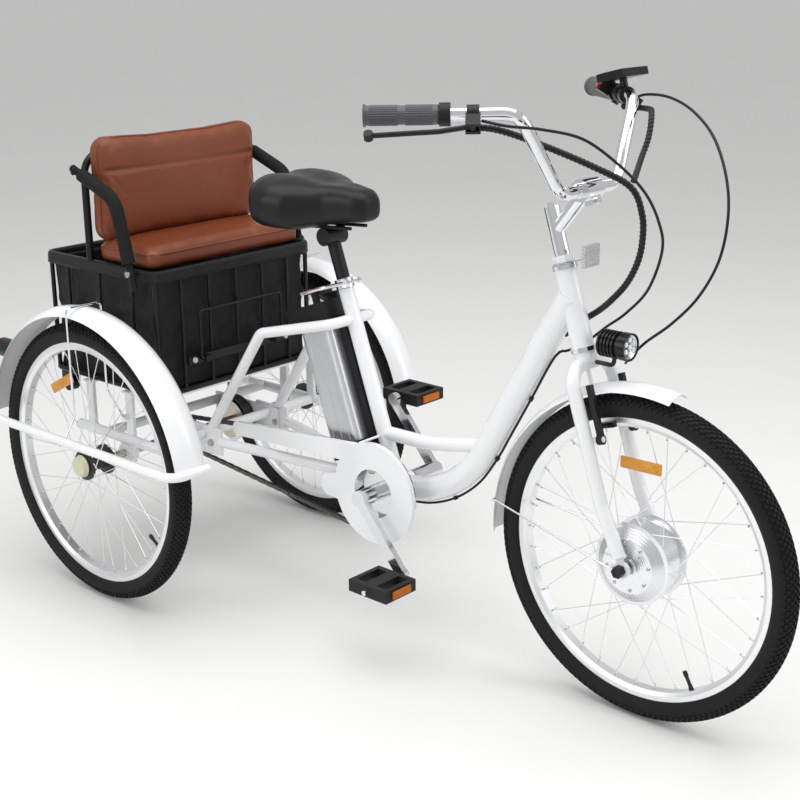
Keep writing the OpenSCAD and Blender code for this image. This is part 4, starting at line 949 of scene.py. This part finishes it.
# ---- saddle ----------------------------------------------------------------------
# A broad sprung saddle: a soft black cover stretched over a foam top, wide and
# tall behind, narrowing quickly to a short rounded nose.
saddle_low, saddle_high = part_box("saddle")
black_cover = leather("black_cover", (0.008, 0.008, 0.009), 1500, 0.0003, 0.28)
LONG = saddle_high.x - saddle_low.x
STATIONS, AROUND = 40, 40
points, faces = [], []
for i in range(STATIONS):
    s = (i + 0.5) / STATIONS
    wide = np.interp(s, (0, 0.06, 0.16, 0.30, 0.44, 0.56, 0.68, 0.80, 0.90, 0.97, 1.0),
                     (0.056, 0.096, 0.119, 0.121, 0.108, 0.078, 0.054, 0.045, 0.040, 0.028, 0.014))
    top = np.interp(s, (0, 0.06, 0.18, 0.35, 0.55, 0.75, 0.92, 1.0),
                    (-0.014, -0.001, 0.003, 0.001, -0.009, -0.010, -0.017, -0.032)) + saddle_high.z
    low = np.interp(s, (0, 0.08, 0.2, 0.4, 0.6, 0.8, 0.95, 1.0),
                    (0.030, 0.006, -0.005, -0.006, 0.006, 0.016, 0.020, 0.030)) + saddle_low.z
    for k in range(AROUND):
        a = 2 * math.pi * k / AROUND
        c, w = math.cos(a), math.sin(a)
        y = wide * math.copysign(abs(c) ** 0.72, c)
        up_share = math.copysign(abs(w) ** (0.8 if w > 0 else 0.5), w)
        mid = (top + low) / 2
        z = mid + (top - low) / 2 * up_share
        hollow = 0.011 * math.exp(-(y / 0.018) ** 2) * max(0.0, w)
        hollow *= np.interp(s, (0, 0.1, 0.6, 0.9), (1.4, 1.0, 0.4, 0))
        points.append((saddle_low.x + LONG * s, y, z - hollow))
for i in range(STATIONS - 1):
    for k in range(AROUND):
        j = (k + 1) % AROUND
        faces.append((i * AROUND + k, i * AROUND + j, (i + 1) * AROUND + j, (i + 1) * AROUND + k))
for end in (0, STATIONS - 1):
    ring = [end * AROUND + k for k in range(AROUND)]
    points.append(tuple(np.mean([points[r] for r in ring], axis=0)))
    tip = len(points) - 1
    faces += [(ring[k], ring[(k + 1) % AROUND], tip) for k in range(AROUND)]
saddle = piece("saddle_cover", outward(mesh_of("saddle_cover", points, faces)), "saddle_post",
               black_cover)
sub = saddle.modifiers.new("smooth", "SUBSURF")
sub.levels = sub.render_levels = 1
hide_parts("saddle")

# ---- basket liner ---------------------------------------------------------------
# A bag of coated black cloth hung inside the wire basket: its walls sag and
# wrinkle between the bars, and its top edge is turned over the rail as a hem.
liner_low, liner_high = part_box("basket_liner")
coated = Finish("coated_cloth", Specular_IOR_Level=0.28)
weave_x, weave_y, weave_z = coated.split(coated.place())
weave = ((weave_x + weave_y) * 5200).wave() + (weave_z * 5200).wave()
coated.feed("Base Color", coated.blend(coated.noise(7, 5), (0.0025, 0.0025, 0.003), (0.009, 0.009, 0.010)))
coated.feed("Roughness", 0.24 + 0.26 * coated.noise(16, 5))
coated.emboss(0.25 * weave + 2.2 * coated.noise(26, 4), 0.0006, 0.7)
DEEP = liner_high.z - liner_low.z
wall_mid = (liner_low + liner_high) / 2
half_x, half_y = (liner_high.x - liner_low.x) / 2, (liner_high.y - liner_low.y) / 2
ROUND = 0.014
CLOTH_UP = 0.0015


def rounded_outline(half_a, half_b, corner, steps):
    """A rectangle about the origin with round corners, as (a, b) points."""
    points = []
    for u, v, start in ((1, 1, 0), (-1, 1, 90), (-1, -1, 180), (1, -1, 270)):
        for k in range(steps + 1):
            a = math.radians(start + 90 * k / steps)
            points.append((u * (half_a - corner) + corner * math.cos(a),
                           v * (half_b - corner) + corner * math.sin(a)))
    return points


ring = rounded_outline(half_x, half_y, ROUND, 4)
outline = []
for (ax, ay), (bx, by) in zip(ring, ring[1:] + ring[:1]):
    steps = max(1, round(math.hypot(bx - ax, by - ay) / 0.008))
    outline += [(ax + (bx - ax) * k / steps, ay + (by - ay) * k / steps) for k in range(steps)]
COUNT, LEVELS = len(outline), 30


def sag(px, py, height):
    """How far the cloth hangs inwards, in soft folds that fade at the top and bottom."""
    run = px if abs(py) > half_y - ROUND else py + 1.7
    folds = (math.sin(run * 44 + 7 * height) + 0.8 * math.sin(run * 91 - 19 * height + 1.0)
             + 0.6 * math.sin(run * 23 + 31 * height + 2.1) + 0.5 * math.sin(run * 150 + 12 * height))
    return (0.0034 + 0.0019 * folds) * math.sin(math.pi * min(1, height * 1.02)) ** 0.6


points, faces = [], []
for level_at in range(LEVELS + 1):
    height = level_at / LEVELS
    for px, py in outline:
        inset = 0.0012 + sag(px, py, height)
        dx = inset if abs(abs(px) - half_x) < ROUND else 0
        dy = inset if abs(abs(py) - half_y) < ROUND else 0
        points.append((wall_mid.x + px - math.copysign(dx, px), wall_mid.y + py - math.copysign(dy, py),
                       liner_low.z + CLOTH_UP + (DEEP - 0.0022) * height))
for level_at in range(LEVELS):
    for k in range(COUNT):
        j = (k + 1) % COUNT
        a, b = level_at * COUNT, (level_at + 1) * COUNT
        faces.append((a + k, a + j, b + j, b + k))
BASE_RINGS = 10
BASE_UP = 0.0016
for inner in range(1, BASE_RINGS + 1):
    share = 1 - inner / BASE_RINGS
    start = len(points)
    if inner < BASE_RINGS:
        for px, py in outline:
            sunk = 0.0009 * math.sin(px * 60) * math.sin(py * 47) * (1 - share)
            points.append((wall_mid.x + px * share, wall_mid.y + py * share,
                           liner_low.z + BASE_UP + abs(sunk)))
        before = 0 if inner == 1 else start - COUNT
        faces += [(before + (k + 1) % COUNT, before + k, start + k, start + (k + 1) % COUNT)
                  for k in range(COUNT)]
    else:
        points.append((wall_mid.x, wall_mid.y, liner_low.z + BASE_UP))
        faces += [(start - COUNT + (k + 1) % COUNT, start - COUNT + k, start) for k in range(COUNT)]


def thicken(made, thickness):
    """Gives a sheet its thickness, half on each side."""
    wall = made.modifiers.new("thickness", "SOLIDIFY")
    wall.thickness, wall.offset = thickness, 0
    bake(made)
    made.data.polygons.foreach_set("use_smooth", [True] * len(made.data.polygons))


liner = piece("basket_liner_cloth", mesh_of("basket_liner_cloth", points, faces), "frame",
              coated.material)
thicken(liner, 0.0016)
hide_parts("basket_liner")

# The hem is the liner's edge, turned out over the top rail and left hanging.
RAIL_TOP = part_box("seat_cushion")[0].z - 0.0003
RAIL_R = 0.0055


def strip_mesh(name, ring, profile):
    """Carries an (out, up) outline round a level closed ring."""
    points, faces, n, m = [], [], len(ring), len(profile)
    for k, here in enumerate(ring):
        run = (ring[(k + 1) % n] - ring[k - 1]).normalized()
        out = Vector((run.y, -run.x, 0))
        for j, (reach, rise) in enumerate(profile):
            ripple = 0.0006 * math.sin(k * 0.9 + j) + 0.0009 * math.sin(k * 0.37 + 2.2 * j)
            hang = max(0.0, j - m + 4) / 3
            points.append(here + out * (reach + ripple * (0.3 + hang))
                          + Vector((0, 0, rise + ripple * hang * 1.6)))
    for k in range(n):
        for j in range(m - 1):
            a, b = k * m + j, ((k + 1) % n) * m + j
            faces.append((a, b, b + 1, a + 1))
    return mesh_of(name, points, faces)


def divide(ring, most):
    """Adds points to a closed ring so that none lie further than most apart."""
    points = []
    for a, b in zip(ring, ring[1:] + ring[:1]):
        count = max(1, math.ceil((b - a).length / most))
        points += [a.lerp(b, k / count) for k in range(count)]
    return points


REACH = 0.0058
hem_ring = divide([Vector((wall_mid.x + px, wall_mid.y + py, RAIL_TOP - RAIL_R))
                   for px, py in rounded_outline(half_x + REACH, half_y + REACH, 0.02, 5)], 0.012)
WRAP = RAIL_R + 0.0009
profile = [(-WRAP - 0.0006, -0.012), (-WRAP, -0.004)]
profile += [(-WRAP * math.cos(math.radians(a)), min(WRAP * math.sin(math.radians(a)), RAIL_R + 0.0001))
            for a in range(0, 181, 30)]
profile += [(WRAP + 0.0002, -0.006), (WRAP + 0.0008, -0.013), (WRAP + 0.0004, -0.019)]
hem = piece("basket_liner_hem", strip_mesh("basket_liner_hem", hem_ring, profile), "frame",
            coated.material)
thicken(hem, 0.0008)

# ---- armrests -----------------------------------------------------------------------
# Bent steel tube in black enamel, bolted to the basket. A sleeve of closed-cell
# foam covers each one down to a little above its zinc bolt.
foam = Finish("foam_sleeve", Specular_IOR_Level=0.22)
x, y, z = foam.split(foam.place())
SLEEVE_FOOT, BOLT_FACE = RAIL_TOP + 0.004, 0.2464
above = z > SLEEVE_FOOT
bolt_heads = (abs(y) > BOLT_FACE) * (z < RAIL_TOP)
soft = foam.blend(foam.noise(90, 4), (0.005, 0.005, 0.006), (0.012, 0.012, 0.013))
foam.feed("Base Color", foam.blend(bolt_heads, soft, STEEL))
foam.feed("Metallic", bolt_heads)
foam.feed("Roughness", 0.28 + 0.45 * above + 0.1 * foam.noise(40, 4))
foam.emboss(foam.noise(1500, 2) * above, 0.0005, 0.6)
dress("armrests", foam.material)

# ---- grips -------------------------------------------------------------------------
# Soft grey-black grips with ribs along their length, smooth bands, and a thick
# flange at the bar's end. The right one turns on the bar as the throttle.
throttle = joint_named("throttle_twist")
GRIP_AT = Vector(throttle["pos_m"])
GRIP_ALONG = Vector(throttle["axis"]).normalized()
GRIP_LEN, GRIP_R, RIBS = 0.118, 0.0165, 26


def grip_surface(run, angle):
    """The grip's radius at a distance from its outer end."""
    if run < 0.0032:
        return GRIP_R + 0.0019
    if run < 0.010 or run > GRIP_LEN - 0.006:
        return GRIP_R - 0.0006
    if abs(run - GRIP_LEN * 0.52) < 0.006:
        return GRIP_R - 0.0013
    ridge = max(0.0, math.cos(RIBS * angle)) ** 0.5
    return GRIP_R - 0.0014 + 0.0014 * ridge


grip_rubber = Finish("grip_rubber", Coat_Weight=0.1)
grip_rubber.feed("Base Color", grip_rubber.blend(
    grip_rubber.noise(35, 4), (0.055, 0.057, 0.06), (0.10, 0.102, 0.106)))
grip_rubber.feed("Roughness", 0.38 + 0.15 * grip_rubber.noise(60, 4))
grip_rubber.emboss(grip_rubber.noise(900, 2), 0.0002, 0.4)
stops = [-0.0028, -0.0024, 0.0002, 0.0004] + [0.0015 + 0.002 * k for k in range(58)] + [GRIP_LEN - 0.0002]
for name, node, body, flip in (("right_grip_ribs", "throttle_grip", "throttle", 1),
                               ("left_grip_ribs", "left_grip", "steering", -1)):
    start = Vector((GRIP_AT.x, GRIP_AT.y * flip, GRIP_AT.z))
    along = Vector((GRIP_ALONG.x, GRIP_ALONG.y * flip, GRIP_ALONG.z))
    grip = tube_mesh(name, [start + along * s for s in stops], grip_surface, RIBS * 5)
    made = piece(name, grip, body, grip_rubber.material)
    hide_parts(node)

# ---- cables and the wiring loom -------------------------------------------------------
# Black housings for the brake wires, and leads bound together in spiral wrap.
# The front wire and the left loom are carried on the steering.


def smooth_path(points, spacing):
    """A Catmull-Rom curve through listed points, in metres."""
    knots = [Vector(p) / 1000 for p in points]
    path = []
    for i in range(len(knots) - 1):
        a, b, c, d = knots[max(i - 1, 0)], knots[i], knots[i + 1], knots[min(i + 2, len(knots) - 1)]
        count = max(2, round((c - b).length / spacing))
        for k in range(count):
            t = k / count
            path.append(0.5 * (2 * b + (c - a) * t + (2 * a - 5 * b + 4 * c - d) * t * t
                               + (3 * b - a - 3 * c + d) * t ** 3))
    return path + [knots[-1]]


rear_cable_points = [
    (405, -214, 1066), (440, -194, 1058), (480, -156, 1052), (526, -110, 1036), (563, -66, 996),
    (592, -30, 950), (606, -6, 901), (610, 4, 852), (583, 10, 781), (536, 18, 731), (490, 28, 697),
    (454, 32, 668), (420, 18, 645), (402, 2, 634), (352, 0, 545), (306, 0, 464), (276, 0, 412),
    (232, 0, 353), (174, 0, 308), (106, 0, 280), (34, 2, 271), (-20, 14, 270), (-90, 30, 288),
    (-250, 62, 295), (-370, 82, 296), (-440, 76, 284), (-492, 68, 284)]
front_cable_points = [
    (405, 214, 1066), (450, 190, 1078), (510, 168, 1078), (577, 134, 1062), (636, 104, 1026),
    (682, 70, 970), (702, 48, 910), (696, 38, 840), (664, 34, 775), (616, 34, 722), (565, 36, 680),
    (530, 44, 645), (514, 56, 630)]
harness_points = [
    (372, -190, 1051), (400, -164, 1046), (440, -110, 1022), (506, -50, 984), (552, -8, 950),
    (570, 2, 905), (571, 4, 860), (562, 5, 822), (541, 7, 784), (508, 14, 750), (474, 28, 724),
    (439, 32, 700), (403, 28, 669)]
left_harness_points = [
    (402, 188, 1054.5), (464, 170, 1056), (500, 128, 1054), (514, 100, 1018), (520, 70, 985),
    (546, 10, 957)]
housing = Finish("brake_housing_black", Specular_IOR_Level=0.3)
housing.feed("Base Color", housing.blend(housing.noise(20, 4), (0.004, 0.004, 0.005), (0.010, 0.010, 0.011)))
housing.feed("Roughness", 0.3 + 0.1 * housing.noise(45, 4))
housing.emboss(housing.noise(700, 2), 0.0001, 0.3)
WRAP_PITCH = 0.0075


def wrapped(thick):
    """The radius of spiral wrap over a bundle: a flat band with a groove."""
    def radius(run, angle):
        turn = (run / WRAP_PITCH - angle / (2 * math.pi)) % 1
        return thick + 0.0003 - 0.0015 * math.exp(-((turn - 0.5) / 0.13) ** 2)
    return radius


def cord(name, points, body, spacing, radius, sides):
    return piece(name, tube_mesh(name, smooth_path(points, spacing), radius, sides), body,
                 housing.material)


WIRE_STEP, WIRE_R = 0.006, 0.0025
rear_cable = cord("rear_brake_wire", rear_cable_points, None, WIRE_STEP, WIRE_R, 10)
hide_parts("rear_brake_cable")
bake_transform(rear_cable)
front_cable = cord("front_brake_wire", front_cable_points, "steering", WIRE_STEP, WIRE_R, 10)
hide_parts("front_brake_cable")
loom = cord("spiral_loom", harness_points, None, 0.0016, wrapped(0.0055), 16)
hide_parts("wiring_harness")
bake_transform(loom)
cord("left_spiral_loom", left_harness_points, "steering", 0.0016, wrapped(0.005), 16)

# ---- battery ---------------------------------------------------------------------------
# A brushed aluminium extrusion with shallow lengthwise flutes, between black
# moulded end caps, behind the seat tube.
slide = joint_named("battery_slide")
CASE_UP = Vector(slide["axis"]).normalized()
CASE_BACK = Vector((-CASE_UP.z, 0, CASE_UP.x))
BRACKET = Vector((CRANK_X, 0, AXLE_Z))
# The case's depth, width and length, and how far it stands behind and above the bracket.
CASE_D, CASE_W, CASE_LEN, CASE_P, CASE_S = 0.086, 0.084, 0.238, 0.036, 0.106
brushed = Finish("brushed_case", Metallic=1.0)
x, y, z = brushed.split(brushed.place())
along_case = x * CASE_UP.x + z * CASE_UP.z
across_case = x * CASE_BACK.x + z * CASE_BACK.z
grain_at = brushed.node("ShaderNodeCombineXYZ", {}, {0: across_case * 60, 1: y * 60, 2: along_case * 2})
streak = brushed.noise(18, 3, grain_at)
brushed.feed("Base Color", brushed.blend(streak, (0.62, 0.63, 0.65), (0.80, 0.81, 0.83)))
brushed.feed("Roughness", 0.26 + 0.18 * streak)
brushed.emboss(streak, 0.0001, 0.3)
section = rounded_outline(CASE_D / 2, CASE_W / 2, 0.012, 6)
FLUTE = 0.0011
fluted = []
for (ax, ay), (bx, by) in zip(section, section[1:] + section[:1]):
    span = math.hypot(bx - ax, by - ay)
    fluted.append((ax, ay))
    if span > 0.02:
        nx, ny = (by - ay) / span, -(bx - ax) / span
        for middle in (0.14, 0.5, 0.86) if abs(ny) > 0.5 else (0.5,):
            for off, deep in ((-0.0024, 0), (-0.0016, FLUTE), (0.0016, FLUTE), (0.0024, 0)):
                t = middle + off / span
                fluted.append((ax + (bx - ax) * t - nx * deep, ay + (by - ay) * t - ny * deep))
points, faces, n = [], [], len(fluted)
for share in (0.0, 1.0):
    for px, py in fluted:
        points.append(BRACKET + CASE_BACK * (CASE_P + CASE_D / 2 + px) + Vector((0, py, 0))
                      + CASE_UP * (CASE_S + CASE_LEN * share))
faces = [(k, (k + 1) % n, n + (k + 1) % n, n + k) for k in range(n)]
faces += [tuple(range(n)), tuple(range(n, 2 * n))]
case = outward(mesh_of("battery_shell", points, faces, False))
case.set_sharp_from_angle(angle=math.radians(30))
shell = piece("battery_shell", case, "battery", brushed.material)
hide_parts("battery_case")

# ---- lamp and display faces --------------------------------------------------------------
# Seven clear LED domes in a bright bowl, and a display with a dark window and
# three pale keys.
head_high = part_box("headlamp")[1]
BEZEL_DEEP, BEZEL_R = 0.0037, 0.0245
lamp_at = Vector((head_high.x - BEZEL_DEEP, 0, head_high.z - BEZEL_R))
facing = Matrix(((0, 0, 1), (0, 1, 0), (-1, 0, 0)))
bowl = turned_mesh("lamp_bowl", [(0.0001, -0.0006), (0.0205, -0.0006), (0.0213, 0.0016), (0.0207, 0.0018),
                                 (0.0198, 0.0004), (0.0001, 0.0004)], 36, lamp_at, facing)
piece("lamp_bowl", bowl, "steering", polished("lamp_bowl", (0.55, 0.56, 0.58), 0.12))
led = Finish("led_dome", Roughness=0.08, IOR=1.49, Coat_Weight=1.0)
led.feed("Base Color", led.blend(led.noise(50, 2), (0.66, 0.68, 0.7), (0.9, 0.92, 0.94)))
dome = turned_mesh("dome", [(0.0001, -0.0004), (0.0048, -0.0004), (0.0045, 0.0014), (0.0032, 0.0026),
                            (0.0001, 0.0031)], 14, frame_of=UPRIGHT)
LED_OUT, LED_RING = 0.0004, 0.0128
places = [(lamp_at + Vector((LED_OUT, 0, 0)), facing)]
for k in range(6):
    a = math.radians(60 * k + 30)
    places.append((lamp_at + Vector((LED_OUT, LED_RING * math.cos(a), LED_RING * math.sin(a))), facing))
copies("lamp_leds", dome, places, led.material, "steering")

DISPLAY_AT = Vector((0.461563 - 0.067, 0.196, 0.936474 + 0.168))
nod = Matrix.Rotation(math.radians(-14), 3, "Y")
KEY = (0.009, 0.011, 0.002)
window = Finish("display_window", Roughness=0.08, Coat_Weight=0.8)
window.feed("Base Color", window.blend(window.noise(9, 2), (0.012, 0.014, 0.016), (0.03, 0.034, 0.036)))
key_grey = moulded("display_key", (0.42, 0.43, 0.44), 0.4)
bezel = moulded("display_bezel", (0.06, 0.062, 0.066), 0.35)
for name, centre, size, finish, bevel in (
        ("display_bezel", (0, 0, 0.0122), (0.050, 0.074, 0.0012), bezel, 0.0005),
        ("display_window", (0, -0.008, 0.0130), (0.040, 0.046, 0.0012), window.material, 0.0005),
        ("display_key_up", (0.013, 0.026, 0.0132), KEY, key_grey, 0.0008),
        ("display_key_on", (0.0, 0.026, 0.0132), KEY, key_grey, 0.0008),
        ("display_key_down", (-0.013, 0.026, 0.0132), KEY, key_grey, 0.0008)):
    block_mesh = lozenge(name, DISPLAY_AT + nod @ Vector(centre), size, nod, bevel)
    piece(name, block_mesh, "steering", finish)

# ---- screws on the motor shell -------------------------------------------------------------
# Each cover of the hub motor is held by a ring of dome-headed steel screws,
# eight to a side, with a small round recess in each head.
screw = turned_mesh("screw", [(0.0001, -0.0006), (0.0036, -0.0006), (0.0034, 0.0012), (0.0022, 0.002),
                              (0.0013, 0.002), (0.0012, 0.0008), (0.0001, 0.0008)], 12, frame_of=UPRIGHT)
SCREW_RING, COVER_Y = 0.043, 0.0441
places = []
for flank in (-1, 1):
    for k in range(8):
        a = math.radians(45 * k + 10)
        spoke = outwards_at(a)
        places.append((front_axle + spoke * SCREW_RING + Vector((0, flank * COVER_Y, 0)),
                       basis_of((0, flank, 0), spoke)))
copies("motor_screws", screw, places, polished("screw_steel", (0.6, 0.6, 0.6), 0.2), "front_wheel")

# ---- cable clips -----------------------------------------------------------------------------
# Small black plastic bands hold the rear brake wire under the down tube, at
# three places along it.
clip_path = smooth_path(rear_cable_points, WIRE_STEP)
band = turned_mesh("band", [(0.0027, -0.004), (0.0041, -0.004), (0.0043, 0.0), (0.0041, 0.004),
                            (0.0027, 0.004)], 14, frame_of=UPRIGHT)
places = []
for target in ((0.352, 0.545), (0.276, 0.412), (0.174, 0.308)):
    i = min(range(1, len(clip_path) - 1),
            key=lambda k: (clip_path[k].x - target[0]) ** 2 + (clip_path[k].z - target[1]) ** 2)
    places.append((clip_path[i], basis_of(clip_path[i + 1] - clip_path[i - 1], (0, 1, 0))))
copies("cable_bands", band, places, black_plastic, "frame")

low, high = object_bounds()
